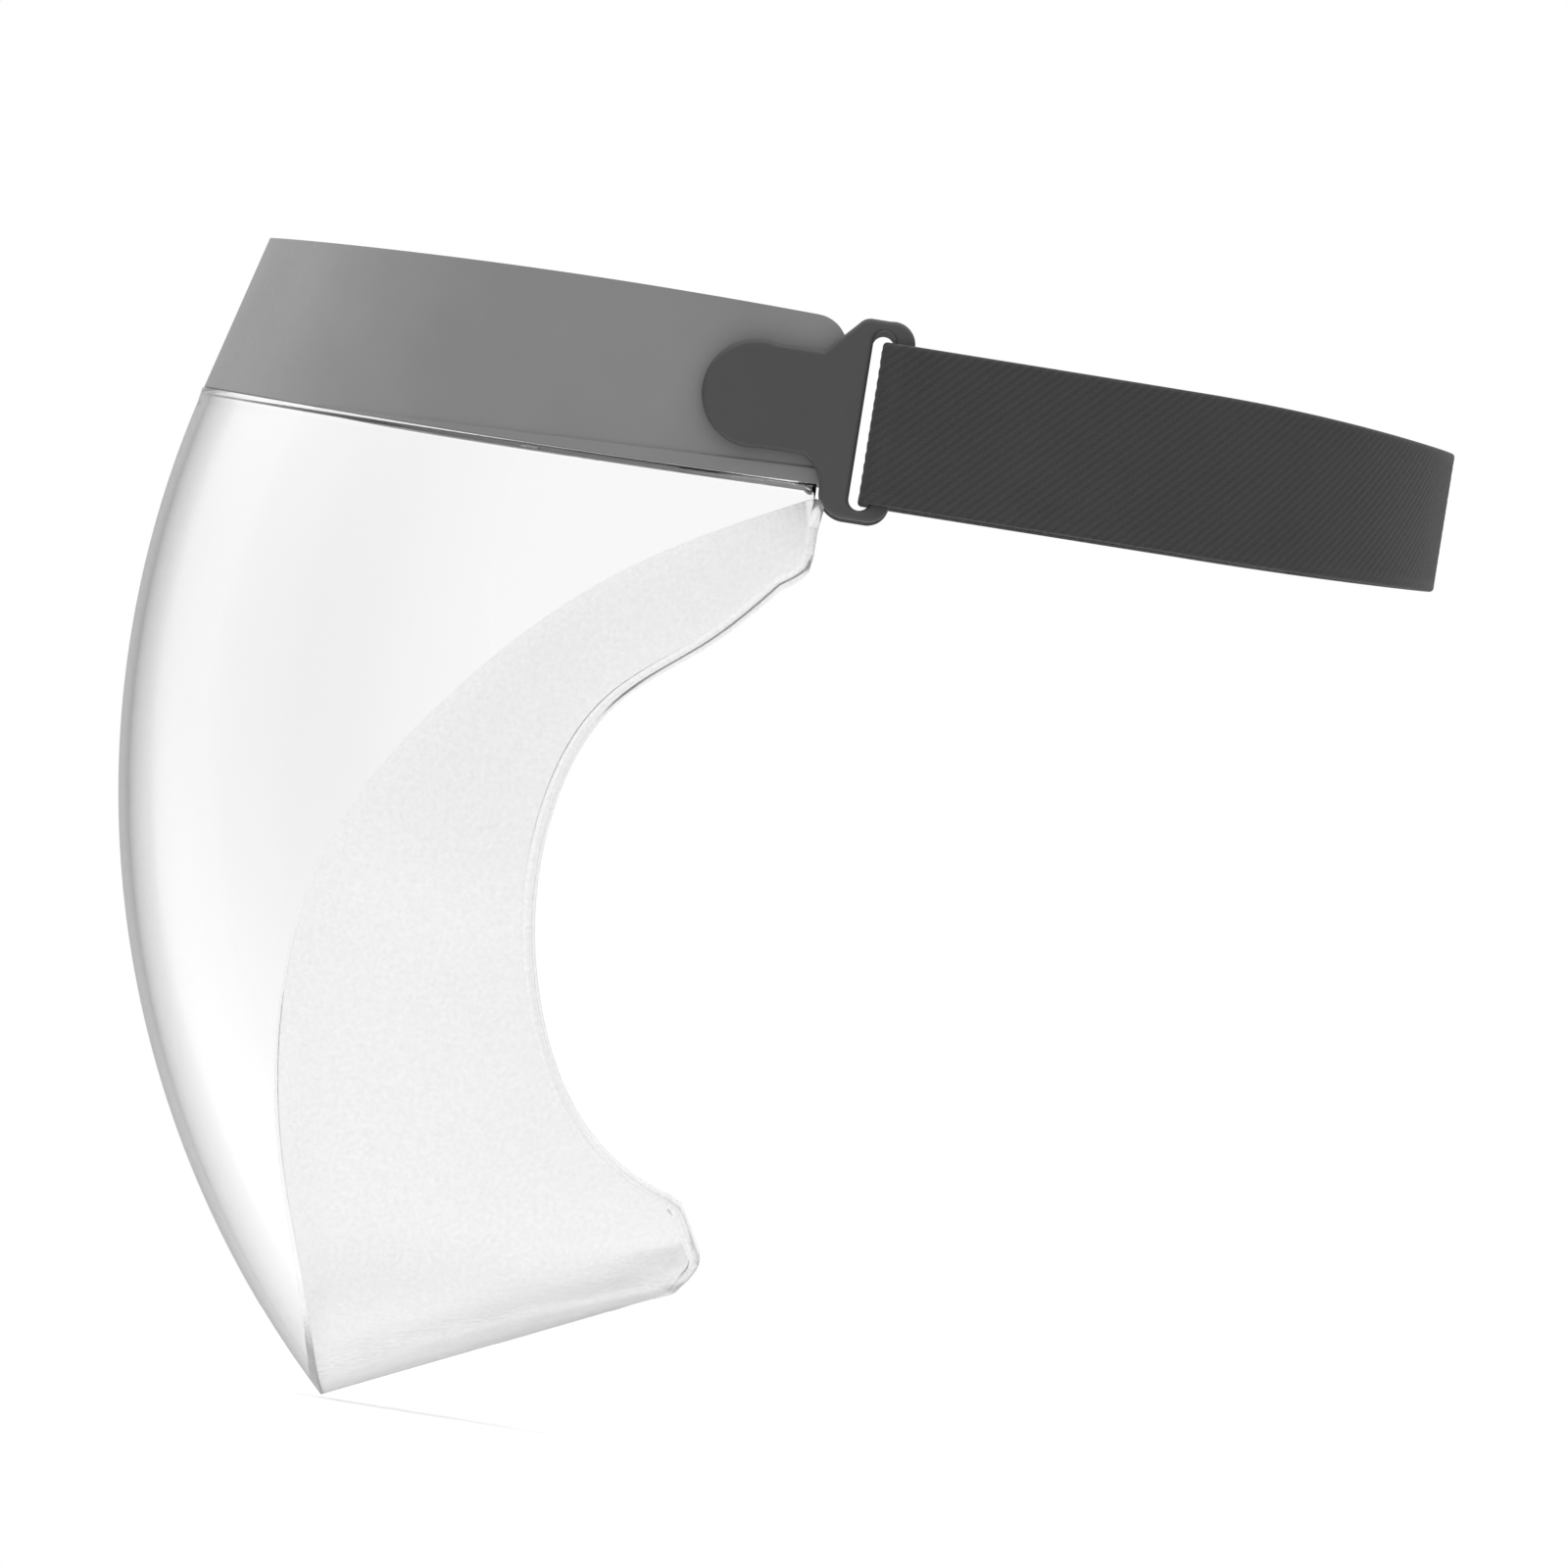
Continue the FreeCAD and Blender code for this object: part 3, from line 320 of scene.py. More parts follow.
def new_object(name, points, faces, look, smooth=True):
    mesh = bpy.data.meshes.new(name)
    mesh.from_pydata([tuple(p) for p in points], [], faces)
    mesh.validate()
    mesh.polygons.foreach_set("use_smooth", [smooth] * len(mesh.polygons))
    piece = bpy.data.objects.new(name, mesh)
    scene.collection.objects.link(piece)
    mesh.materials.append(looks[look])
    return piece


def tufted(depth):
    """The relief of a hook-and-loop face: a field of small waves this deep."""
    def relief(run, heights):
        wave = np.sin(run / (0.9 * MM)) * np.sin(heights / (0.8 * MM) + run / MM)
        return depth * (1 + wave)
    return relief


def tidy_normals(piece):
    mesh = bmesh.new()
    mesh.from_mesh(piece.data)
    bmesh.ops.recalc_face_normals(mesh, faces=mesh.faces)
    mesh.to_mesh(piece.data)
    mesh.free()


def tape(name, look, path, edges, place, wall, relief, rows):
    """A closed ribbon with rounded long edges. path is the stations' run in metres, edges(run)
    gives the two heights, place(i, height, out) the point, and relief(run, height) is how far
    each broad face is cut back."""
    count = len(path)
    low, high = edges
    radius = wall / 2
    rounds = np.linspace(0, math.pi, 7)[1:-1]
    rings = []
    for i in range(count):
        flat = np.linspace(low[i] + radius, high[i] - radius, rows)
        cut = relief(path[i], flat)
        outer = [(z, radius - c) for z, c in zip(flat, cut)]
        top = [(high[i] - radius + radius * math.sin(a), radius * math.cos(a)) for a in rounds]
        inner = [(z, -radius + c) for z, c in zip(flat[::-1], cut[::-1])]
        foot = [(low[i] + radius - radius * math.sin(a), -radius * math.cos(a)) for a in rounds]
        rings.append(outer + top + inner + foot)
    ring = len(rings[0])
    points, laid = [], []
    for i, section in enumerate(rings):
        for z, out in section:
            points.append(place(i, z, out))
            laid.append((path[i] / MM, z / MM))
    faces = []
    for i in range(count - 1):
        for k in range(ring):
            a, b = i * ring + k, i * ring + (k + 1) % ring
            faces.append((a, a + ring, b + ring, b))
    faces.append(tuple(range(ring)))
    faces.append(tuple(reversed(range((count - 1) * ring, count * ring))))
    piece = new_object(name, points, faces, look)
    layer = piece.data.uv_layers.new(name="weave")
    corner = np.array([laid[loop.vertex_index] for loop in piece.data.loops], np.float32)
    layer.data.foreach_set("uv", corner.ravel())
    return piece


# ---------------------------------------------------------------- the strap's path

bar_low, bar_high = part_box("left_buckle")
strap_low, strap_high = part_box("elastic_strap")
STRAP_WALL = 1.6 * MM
BAR_WALL, BUCKLE_WALL = 4.0 * MM, 3.2 * MM
BAR_PLAY = 0.1 * MM
WRAP_RADIUS = math.hypot(BAR_WALL, BUCKLE_WALL) / 2 + BAR_PLAY + STRAP_WALL / 2
TAPER = math.radians(7.0)
TAIL_END = math.radians(46.0)
# How far the lower edge rises and the upper edge dips, part of the way back and at the back.
NECK, DIP = (0.225 * MM, 0.9 * MM), (1.37 * MM, 3.8 * MM)
BAR = ((bar_low.x + bar_high.x) / 2, bar_high.y - BAR_WALL / 2)
LOOP_REAR = strap_high.y - STRAP_WALL / 2
LOOP_RADIUS = ((BAR[0] * math.cos(TAPER) + (BAR[1] - LOOP_REAR) * math.sin(TAPER) + WRAP_RADIUS)
               / (1 - math.sin(TAPER)))
LOOP_Y = LOOP_REAR - LOOP_RADIUS
FOLD = 2 * WRAP_RADIUS


def loop_at(inset, angle):
    radius = LOOP_RADIUS - inset
    return np.array([radius * math.cos(angle), LOOP_Y + radius * math.sin(angle)])


def leg_at(inset):
    normal = np.array([math.cos(TAPER), math.sin(TAPER)])
    return np.array(BAR) + normal * (WRAP_RADIUS - inset)


def arc_points(centre, radius, start, end, step):
    count = max(3, int(abs(end - start) * radius / step))
    return [np.array([centre[0] + radius * math.cos(a), centre[1] + radius * math.sin(a)])
            for a in np.linspace(start, end, count + 1)]


def line_points(start, end, step):
    count = max(2, int(np.linalg.norm(end - start) / step))
    return [start + (end - start) * t for t in np.linspace(0, 1, count + 1)]


def flip(points):
    return [np.array([-p[0], p[1]]) for p in reversed(points)]


def strap_path(step):
    """The strap's middle line: a folded tail, the bar, the head, then the other bar and tail."""
    tail = arc_points((0, LOOP_Y), LOOP_RADIUS - FOLD, TAIL_END, TAPER, step)
    inner_leg = line_points(loop_at(FOLD, TAPER), leg_at(FOLD), step)
    wrap = arc_points(BAR, WRAP_RADIUS, math.pi + TAPER, 2 * math.pi + TAPER, step * 0.5)
    leg = line_points(leg_at(0), loop_at(0, TAPER), step)
    half = arc_points((0, LOOP_Y), LOOP_RADIUS, TAPER, math.pi / 2, step)
    left = tail[:-1] + inner_leg[:-1] + wrap[:-1] + leg[:-1] + half
    return np.array(left + flip(left)[1:])


def runs_and_normals(points):
    along = np.gradient(points, axis=0)
    along /= np.linalg.norm(along, axis=1)[:, None]
    steps = np.linalg.norm(np.diff(points, axis=0), axis=1)
    return np.concatenate([[0], np.cumsum(steps)]), np.stack([along[:, 1], -along[:, 0]], 1)


def strap_edges(y):
    """The strap's lower and upper edge at this distance back: it necks at the back."""
    rear = strap_high.y
    straight, bend, far = 0.62 * rear, 0.86 * rear, rear + 2 * MM
    low, high = strap_low.z, strap_high.z
    lows = np.polyfit([straight, bend, far], [low, low + NECK[0], low + NECK[1]], 2)
    highs = np.polyfit([straight, bend, far], [high, high - DIP[0], high - DIP[1]], 2)
    beyond = y > straight
    return (np.where(beyond, np.polyval(lows, y), low),
            np.where(beyond, np.polyval(highs, y), high))


def make_strap():
    """The webbing, with its twill cut into both faces."""
    points = strap_path(0.5 * MM)
    runs, normals = runs_and_normals(points)
    low, high = strap_edges(points[:, 1])
    pitch, lean, depth, border = 2.1 * MM, 1.0, 0.17 * MM, 1.3 * MM

    def twill(run, heights):
        phase = (run - heights * lean) / pitch
        stagger = 0.5 + 0.5 * np.cos(2 * math.pi * (heights / (1.5 * MM) + phase * 0.5))
        ridge = (0.5 - 0.5 * np.cos(2 * math.pi * phase)) ** 0.8
        edge = np.minimum(heights - heights[0], heights[-1] - heights)
        fade = np.clip(edge / border - 0.35, 0, 1)
        return depth * fade * (ridge * 0.8 + 0.2 * stagger)

    def place(i, height, out):
        x, y = points[i] + normals[i] * out
        return (x, y, height)

    strap = tape("strap_webbing", "webbing", runs, (low, high), place, STRAP_WALL, twill, 66)
    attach(strap, "left_harness")
    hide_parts("elastic_strap")
    return strap


make_strap()


# ---------------------------------------------------------------- hook-and-loop patches

def make_patches():
    """The hook and loop patches between the strap and its folded tails."""
    for side, sign in (("left", 1.0), ("right", -1.0)):
        for kind, share in (("hook", 0.75), ("loop", 0.25)):
            node = f"{side}_{kind}_patch"
            gap = FOLD - STRAP_WALL
            inset = STRAP_WALL / 2 + share * gap
            wall = gap / 2 - 0.1 * MM
            end = math.radians(43.0)
            start = leg_at(inset) + np.array([-math.sin(TAPER), math.cos(TAPER)]) * 5 * MM
            points = line_points(start, loop_at(inset, TAPER), 1.2 * MM)[:-1]
            points += arc_points((0, LOOP_Y), LOOP_RADIUS - inset, TAPER, end, 1.2 * MM)
            points = np.array(points)
            runs, normals = runs_and_normals(points)
            box_low, box_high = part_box(node)
            count = len(points)
            low = np.full(count, box_low.z)
            high = np.full(count, box_high.z)

            def place(i, height, out):
                x, y = points[i] + normals[i] * out
                return (sign * x, y, height)

            patch = tape(f"{side}_{kind}_tape", "hook_loop", runs, (low, high), place, wall,
                         tufted(0.06 * MM), 26)
            if sign < 0:
                patch.data.flip_normals()
            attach(patch, "left_harness")
            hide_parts(node)


make_patches()


# ---------------------------------------------------------------- brow pad

HALF_WIDTH = 78.0 * MM
BAND_LEAN = 0.2644
BAND_FRONT, BAND_DROP = -108.5, 15.4
band_low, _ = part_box("headband")
pad_low, pad_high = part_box("brow_pad")
PAD_OUT, PAD_IN = 8.8 * MM, 18.3 * MM
BACKING_OUT = 7.8 * MM


def plan_middle(height):
    """How far back the U's centre is at this height."""
    return band_low.y + HALF_WIDTH + BAND_LEAN * (height + BAND_DROP * MM)


def on_band(turn, height, inset):
    """A point on the leaning wall at this inset, turn radians off straight ahead."""
    radius = HALF_WIDTH - inset
    return (radius * math.sin(turn), plan_middle(height) - radius * math.cos(turn), height)


def settle_cloth(piece, voxel, pressure, frames, reach, pin):
    """Swells a closed cloth piece off its start shape, holding the vertices that pin picks."""
    remesh = piece.modifiers.new("remesh", "REMESH")
    remesh.mode = "VOXEL"
    remesh.voxel_size = voxel
    start = bpy.data.meshes.new_from_object(
        piece.evaluated_get(bpy.context.evaluated_depsgraph_get()))
    piece.modifiers.clear()
    piece.data = start
    rest = np.array([v.co for v in start.vertices])
    group = piece.vertex_groups.new(name="held")
    group.add([i for i, p in enumerate(rest) if pin(p)], 1.0, "REPLACE")
    cloth = piece.modifiers.new("cloth", "CLOTH")
    cloth.settings.uniform_pressure_force = pressure
    cloth.settings.use_pressure = True
    cloth.settings.mass = 0.15
    cloth.settings.tension_stiffness = 22
    cloth.settings.compression_stiffness = 22
    cloth.settings.bending_stiffness = 2.0
    cloth.settings.vertex_group_mass = "held"
    cloth.settings.effector_weights.gravity = 0
    cloth.point_cache.frame_start, cloth.point_cache.frame_end = 1, frames
    for step in range(1, frames + 1):
        scene.frame_set(step)
    done = bpy.data.meshes.new_from_object(
        piece.evaluated_get(bpy.context.evaluated_depsgraph_get()))
    moved = np.array([v.co for v in done.vertices]) - rest
    length = np.linalg.norm(moved, axis=1, keepdims=True)
    moved *= np.minimum(1.0, reach / np.maximum(length, 1e-9))
    done.vertices.foreach_set("co", (rest + moved).ravel())
    piece.modifiers.clear()
    piece.vertex_groups.clear()
    piece.data = done
    scene.frame_set(1)


def make_brow_pad():
    """A cloth-faced foam cushion: a crowned front, rounded ends, and a welt round its edge."""
    swell = 1.3 * MM
    half_tall = (pad_high.z - pad_low.z) / 2 - swell
    middle_z = (pad_high.z + pad_low.z) / 2
    half_deep = (PAD_IN - PAD_OUT) / 2 - swell / 2
    middle_in = (PAD_IN + PAD_OUT) / 2 - swell / 2
    end_turn = math.radians(50.5)
    around, ring = 90, 40
    points, faces = [], []
    for i in range(around + 1):
        share = -1 + 2 * i / around
        close = max(1 - abs(share) ** 14, 0.0) ** (1 / 5)
        for k in range(ring):
            a = 2 * math.pi * k / ring
            c, s = math.cos(a), math.sin(a)
            squared = (abs(c) ** 5 + abs(s) ** 5) ** (-1 / 5)
            height = middle_z + half_tall * s * squared * (0.55 + 0.45 * close)
            inset = middle_in + half_deep * c * squared * max(close, 0.02)
            points.append(on_band(share * end_turn, height, inset))
    for i in range(around):
        for k in range(ring):
            a, b = i * ring + k, i * ring + (k + 1) % ring
            faces.append((a, b, b + ring, a + ring))
    faces.append(tuple(reversed(range(ring))))
    faces.append(tuple(range(around * ring, (around + 1) * ring)))
    pad = new_object("brow_cushion", points, faces, "brow_foam")
    def held(p):
        radius = math.hypot(p[0], p[1] - plan_middle(p[2]))
        return HALF_WIDTH - radius < PAD_OUT + 0.9 * MM
    settle_cloth(pad, 2.6 * MM, 4.0, 20, swell * 1.3, held)
    pad.data.materials.clear()
    pad.data.materials.append(looks["brow_foam"])
    finer = pad.modifiers.new("finer", "SUBSURF")
    finer.levels = finer.render_levels = 1
    pad.data = bpy.data.meshes.new_from_object(
        pad.evaluated_get(bpy.context.evaluated_depsgraph_get()))
    pad.modifiers.clear()
    pad.data.polygons.foreach_set("use_smooth", [True] * len(pad.data.polygons))
    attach(pad, "visor")
    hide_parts("brow_pad")
    return pad


make_brow_pad()


def make_welt():
    """The cord sewn round the cushion where its front panel meets its back."""
    end_turn, level = math.radians(50.0), PAD_OUT + 2.2 * MM
    low, high = pad_low.z + 1.4 * MM, pad_high.z - 1.4 * MM
    corner = 5.0 * MM
    bend = corner / (HALF_WIDTH - level)
    turns = list(np.linspace(-end_turn + bend, end_turn - bend, 150))
    track = [(turn, high) for turn in turns]
    for a in np.linspace(math.pi / 2, 0, 8)[1:]:
        track.append((end_turn - bend * (1 - math.cos(a)), high - corner * (1 - math.sin(a))))
    for a in np.linspace(0, -math.pi / 2, 8)[:-1]:
        track.append((end_turn - bend * (1 - math.cos(a)), low + corner * (1 + math.sin(a))))
    track += [(turn, low) for turn in reversed(turns)]
    for a in np.linspace(-math.pi / 2, 0, 8)[1:]:
        track.append((-end_turn + bend * (1 - math.cos(a)), low + corner * (1 + math.sin(a))))
    for a in np.linspace(0, math.pi / 2, 8)[:-1]:
        track.append((-end_turn + bend * (1 - math.cos(a)), high - corner * (1 - math.sin(a))))
    path = np.array([on_band(turn, height, level) for turn, height in track])
    along = np.roll(path, -1, axis=0) - np.roll(path, 1, axis=0)
    along /= np.linalg.norm(along, axis=1)[:, None]
    outward = np.array([[math.sin(turn), -math.cos(turn), 0] for turn, _ in track])
    across = np.cross(along, outward)
    ring, radius = 12, 0.95 * MM
    points = []
    for i, centre in enumerate(path):
        cord = radius * (1 + 0.08 * math.sin(i * 2.1))
        for k in range(ring):
            a = 2 * math.pi * k / ring
            points.append(centre + cord * (math.cos(a) * outward[i] + math.sin(a) * across[i]))
    count = len(path)
    faces = [(i * ring + k, i * ring + (k + 1) % ring, (i + 1) % count * ring + (k + 1) % ring,
              (i + 1) % count * ring + k) for i in range(count) for k in range(ring)]
    welt = new_object("brow_cushion_welt", points, faces, "brow_foam")
    tidy_normals(welt)
    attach(welt, "visor")


make_welt()


def make_pad_tape():
    """The hook-and-loop strip behind the brow pad."""
    tape_low, tape_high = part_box("pad_backing")
    end_turn = math.radians(52.0)
    turns = np.linspace(-end_turn, end_turn, 140)
    middle = (BACKING_OUT + PAD_OUT) / 2
    runs = (turns - turns[0]) * (HALF_WIDTH - middle)
    low = np.full(len(turns), tape_low.z)
    high = np.full(len(turns), tape_high.z)

    strip = tape("pad_tape", "hook_loop", runs, (low, high),
                 lambda i, height, out: on_band(turns[i], height, middle - out),
                 PAD_OUT - BACKING_OUT, tufted(0.05 * MM), 30)
    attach(strip, "visor")
    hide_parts("pad_backing")


make_pad_tape()


# ---------------------------------------------------------------- window and skirt, in millimetres

HALF = 78.0
BULGE, NOSE_Z = 196.0, -65.5
BULGE_Y = 80.99
WINDOW_WALL, SKIRT_WALL = 2.0, 1.8
CREASE_TOP, TIP = (13.3, -18.3), (-54.63, -207.0)
CREASE_SHAPE = [(0.539, 0.112), (0.944, 0.258), (1.221, 0.429),
                (1.278, 0.630), (1.209, 0.766), (1.091, 0.894)]
RIM_SHAPE = [(0.055, 0.097), (0.242, 0.169), (0.480, 0.245), (0.610, 0.373), (0.614, 0.460),
             (0.545, 0.572), (0.340, 0.691), (0.168, 0.730), (0.063, 0.742)]
SKIRT_STATIONS = [
    (0.000, -0.040, 0.083, 0.987), (0.090, 0.078, 0.147, 0.974), (0.170, 0.270, 0.232, 0.936),
    (0.250, 0.417, 0.316, 0.885), (0.330, 0.490, 0.391, 0.833), (0.415, 0.490, 0.459, 0.782),
    (0.500, 0.461, 0.512, 0.744), (0.570, 0.417, 0.581, 0.705), (0.660, 0.270, 0.661, 0.654),
    (0.720, 0.122, 0.714, 0.615), (0.775, -0.099, 0.751, 0.583), (0.850, -0.099, 0.787, 0.551),
    (0.900, -0.099, 0.812, 0.460), (0.950, -0.099, 0.814, 0.300), (1.000, -0.099, 0.814, 0.000)]
STATION_COUNT = 130
RIM_REAR, FLOOR_RISE = 14.9, 0.478
THROAT_RADIUS, THROAT_Y = 46.0, 47.0
BEAD, BEAD_PROUD = 2.2, 0.35
BOW_MIDDLE, BOW_HALF, BOW_FADE = -46.75, 61.75, 1.5
FLOOR_MARGIN = 0.4
SHORTEST = 0.02
TONGUE_END, JOGGLE_END = 10.3, 12.6


def smooth_curve(values, places):
    """A smooth curve through values at these parameters: a function of the parameter."""
    values, t = np.array(values, float), np.array(places, float)
    steps, count = np.diff(t), len(t)
    system, slopes = np.eye(count), np.zeros_like(values)
    for i in range(1, count - 1):
        system[i, i - 1:i + 2] = steps[i - 1], 2 * (steps[i - 1] + steps[i]), steps[i]
        slopes[i] = 6 * ((values[i + 1] - values[i]) / steps[i]
                         - (values[i] - values[i - 1]) / steps[i - 1])
    bend = np.linalg.solve(system, slopes)

    def at(x):
        i = np.clip(np.searchsorted(t, x) - 1, 0, count - 2)
        h = steps[i][:, None]
        a, b = (t[i + 1] - x)[:, None], (x - t[i])[:, None]
        return (bend[i] * a ** 3 / (6 * h) + bend[i + 1] * b ** 3 / (6 * h)
                + (values[i] / h - bend[i] * h / 6) * a
                + (values[i + 1] / h - bend[i + 1] * h / 6) * b)
    return at


def chord_lengths(points):
    return np.concatenate([[0], np.cumsum(np.linalg.norm(np.diff(points, axis=0), axis=1))])


def side_points(shares):
    shares = np.array(shares, float)
    return np.array(CREASE_TOP) + shares * (np.array(TIP) - np.array(CREASE_TOP))


def window_front(z, inset):
    return BULGE_Y - np.sqrt((BULGE - inset) ** 2 - (z - NOSE_Z) ** 2)


crease_knots = np.vstack([CREASE_TOP, side_points(CREASE_SHAPE), TIP])
crease_chords = chord_lengths(crease_knots)
toward_tip = 1 - (1 - np.linspace(0, 1, 4000)) ** 2
crease_line = smooth_curve(crease_knots, crease_chords)(toward_tip * crease_chords[-1])


def crease_rows(inset, count):
    """Points of the crease evenly spaced round the part, down to where this face runs out."""
    ahead = crease_line[:, 0] - window_front(crease_line[:, 1], inset)
    inside = slice(np.argmax(ahead <= 0.0005) or len(crease_line))
    line, radius = crease_line[inside], HALF - inset
    turn = np.arccos(np.clip(1 - ahead[inside] / radius, 0, 1))
    runs = chord_lengths(np.column_stack([radius * np.sin(turn), line]))
    even = np.linspace(0, runs[-1], count)
    return np.stack([np.interp(even, runs, line[:, k]) for k in (0, 1)], 1)


def window_row(z, rear, inset, columns):
    """A level row of a window face, from the left crease round the front to the right one."""
    radius = HALF - inset
    middle = window_front(z, inset) + radius
    flank = max(rear - middle, 0.0)
    turn = math.acos(min(max((middle - rear) / radius, 0.0), 1.0)) if flank == 0 else math.pi / 2
    length = flank + radius * turn
    run = np.linspace(0, 1, columns + 1) * length
    angle = turn - np.maximum(run - flank, 0) / radius
    x = radius * np.sin(angle)
    y = np.where(run < flank, rear - run, middle - radius * np.cos(angle))
    left = np.stack([x, y, np.full_like(x, z)], 1)
    return np.vstack([left, (left * (-1, 1, 1))[-2::-1]])


def tongue_row(z, rear, inset, columns):
    """A level row of the clamped tongue, which leans with the headband."""
    radius = HALF - inset
    middle = BAND_FRONT + BAND_LEAN * (z + BAND_DROP) + HALF
    length = rear - middle + radius * math.pi / 2
    run = np.linspace(0, 1, columns + 1) * length
    angle = math.pi / 2 - np.maximum(run - (rear - middle), 0) / radius
    x = radius * np.sin(angle)
    y = np.where(run < rear - middle, rear - run, middle - radius * np.cos(angle))
    left = np.stack([x, y, np.full_like(x, z)], 1)
    return np.vstack([left, (left * (-1, 1, 1))[-2::-1]])


def grid_faces(rows, columns, first=0, flip_over=False):
    faces = []
    for i in range(rows - 1):
        for j in range(columns - 1):
            a = first + i * columns + j
            quad = (a, a + 1, a + columns + 1, a + columns)
            faces.append(quad[::-1] if flip_over else quad)
    return faces


def follow_band(row):
    """Lifts the rows next to the headband so that they follow its bowed lower edge."""
    bow = ((row[:, 1] - BOW_MIDDLE) / BOW_HALF) ** 2
    near = np.clip((row[:, 2] - CREASE_TOP[1]) / BOW_FADE, 0, 1)
    row[:, 2] += bow * near * (row[:, 2] < -15)
    return row


def make_window():
    """The clear window and its clamped tongue, open along the crease that the skirt shares."""
    columns = 66
    faces_rows = []
    for inset, tongue_inset, clamp, joggle, top in (
            (0.0, 3.0, (-14.8, -15.9), ((-16.38, 0.8), (-16.46, 0.3)), (-16.5, -17.4)),
            (WINDOW_WALL, 5.0, (-14.8, -16.2), ((-16.9, 0.8), (-17.05, 0.3)), (-17.1, -17.6))):
        rows = [tongue_row(z, TONGUE_END, tongue_inset, columns)
                for z in (-6.5, -7.4, -9.0, -12.0, *clamp)]
        rows += [tongue_row(z, JOGGLE_END, inset + (tongue_inset - inset) * share, columns)
                 for z, share in joggle]
        rows += [window_row(z, CREASE_TOP[0], inset, columns) for z in top]
        for y, z in crease_rows(inset, STATION_COUNT):
            rows.append(window_row(z, y, inset, columns))
        faces_rows.append([follow_band(row) for row in rows])
    outer, inner = faces_rows
    count, wide = len(outer), 2 * columns + 1
    points = np.vstack(outer + inner) * MM
    faces = grid_faces(count, wide) + grid_faces(count, wide, count * wide, True)
    top = [(j, count * wide + j, count * wide + j + 1, j + 1) for j in range(wide - 1)]
    for i in range(count - STATION_COUNT):
        for a, turned in ((i * wide, False), (i * wide + wide - 1, True)):
            cap = (a, a + wide, (count + 1) * wide + a, count * wide + a)
            top.append(cap[::-1] if turned else cap)
    window = new_object("window_shell", points, faces + top, "clear_window")
    clean = bmesh.new()
    clean.from_mesh(window.data)
    bmesh.ops.remove_doubles(clean, verts=clean.verts, dist=0.02 * MM)
    clean.to_mesh(window.data)
    clean.free()
    window.visible_shadow = False
    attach(window, "visor")
    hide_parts("lens_window")


def crease_edge(inset):
    """The window's left crease edge in space, on the face at this inset."""
    rows = crease_rows(inset, STATION_COUNT)
    return np.array([window_row(z, y, inset, 4)[0] for y, z in rows])


def rim_line(inset):
    """The skirt's outline seen from the side, moved in from the face edge by inset."""
    knots = side_points(RIM_SHAPE)
    chords = chord_lengths(knots)
    curve = smooth_curve(knots, chords)(np.linspace(0, chords[-1], 300))
    corner_z = TIP[1] + FLOOR_RISE * (RIM_REAR - TIP[0])
    t = np.linspace(0, 1, 12)[:, None]
    wing = np.array([(RIM_REAR, 10.0), (RIM_REAR, curve[0, 1] + 6.0)])
    wing_bend = ((1 - t) ** 2 * wing[1] + 2 * t * (1 - t) * np.array([RIM_REAR, curve[0, 1] + 3])
                 + t ** 2 * curve[0])[1:-1]
    heel = np.array([(RIM_REAR - 0.3, corner_z + 5.6), (RIM_REAR, corner_z + 4.0),
                     (RIM_REAR - 0.5, corner_z + 2.0), (RIM_REAR - 2.4, corner_z - 0.2),
                     (RIM_REAR - 5.0, corner_z - 5 * FLOOR_RISE - FLOOR_MARGIN),
                     (TIP[0] - 30, TIP[1] - 30 * FLOOR_RISE - FLOOR_MARGIN)])
    line = np.vstack([wing, wing_bend, curve, heel])
    heading = np.gradient(line, axis=0)
    heading /= np.linalg.norm(heading, axis=1)[:, None]
    moved = line + np.stack([heading[:, 1], -heading[:, 0]], 1) * inset
    moved[-2] = line[-2] - np.array([1, FLOOR_RISE]) * inset
    moved[-1] = line[-1]
    return moved


def trim_share(near, far, inset):
    """How far along the line from near to far the skirt reaches before its outline cuts it."""
    if near[1] >= RIM_REAR - inset:
        return SHORTEST / 2
    line = rim_line(inset)
    start, way = near[1:], (far - near)[1:]
    a, b = line[:-1], np.diff(line, axis=0)
    cross = way[0] * b[:, 1] - way[1] * b[:, 0]
    cross = np.where(np.abs(cross) < 1e-9, 1e-9, cross)
    gap = a - start
    share = (gap[:, 0] * b[:, 1] - gap[:, 1] * b[:, 0]) / cross
    place = (gap[:, 0] * way[1] - gap[:, 1] * way[0]) / cross
    good = (place >= -1e-6) & (place <= 1 + 1e-6) & (share > SHORTEST)
    best = share[good].min() if good.any() else 1.0
    flat, plan = near[:2] - np.array([0, THROAT_Y]), (far - near)[:2]
    qa, qb = plan @ plan, 2 * flat @ plan
    qc = flat @ flat - (THROAT_RADIUS + inset) ** 2
    inside = qb * qb - 4 * qa * qc
    if inside > 0:
        hit = (-qb - math.sqrt(inside)) / (2 * qa)
        if SHORTEST < hit < best:
            best = hit
    return best


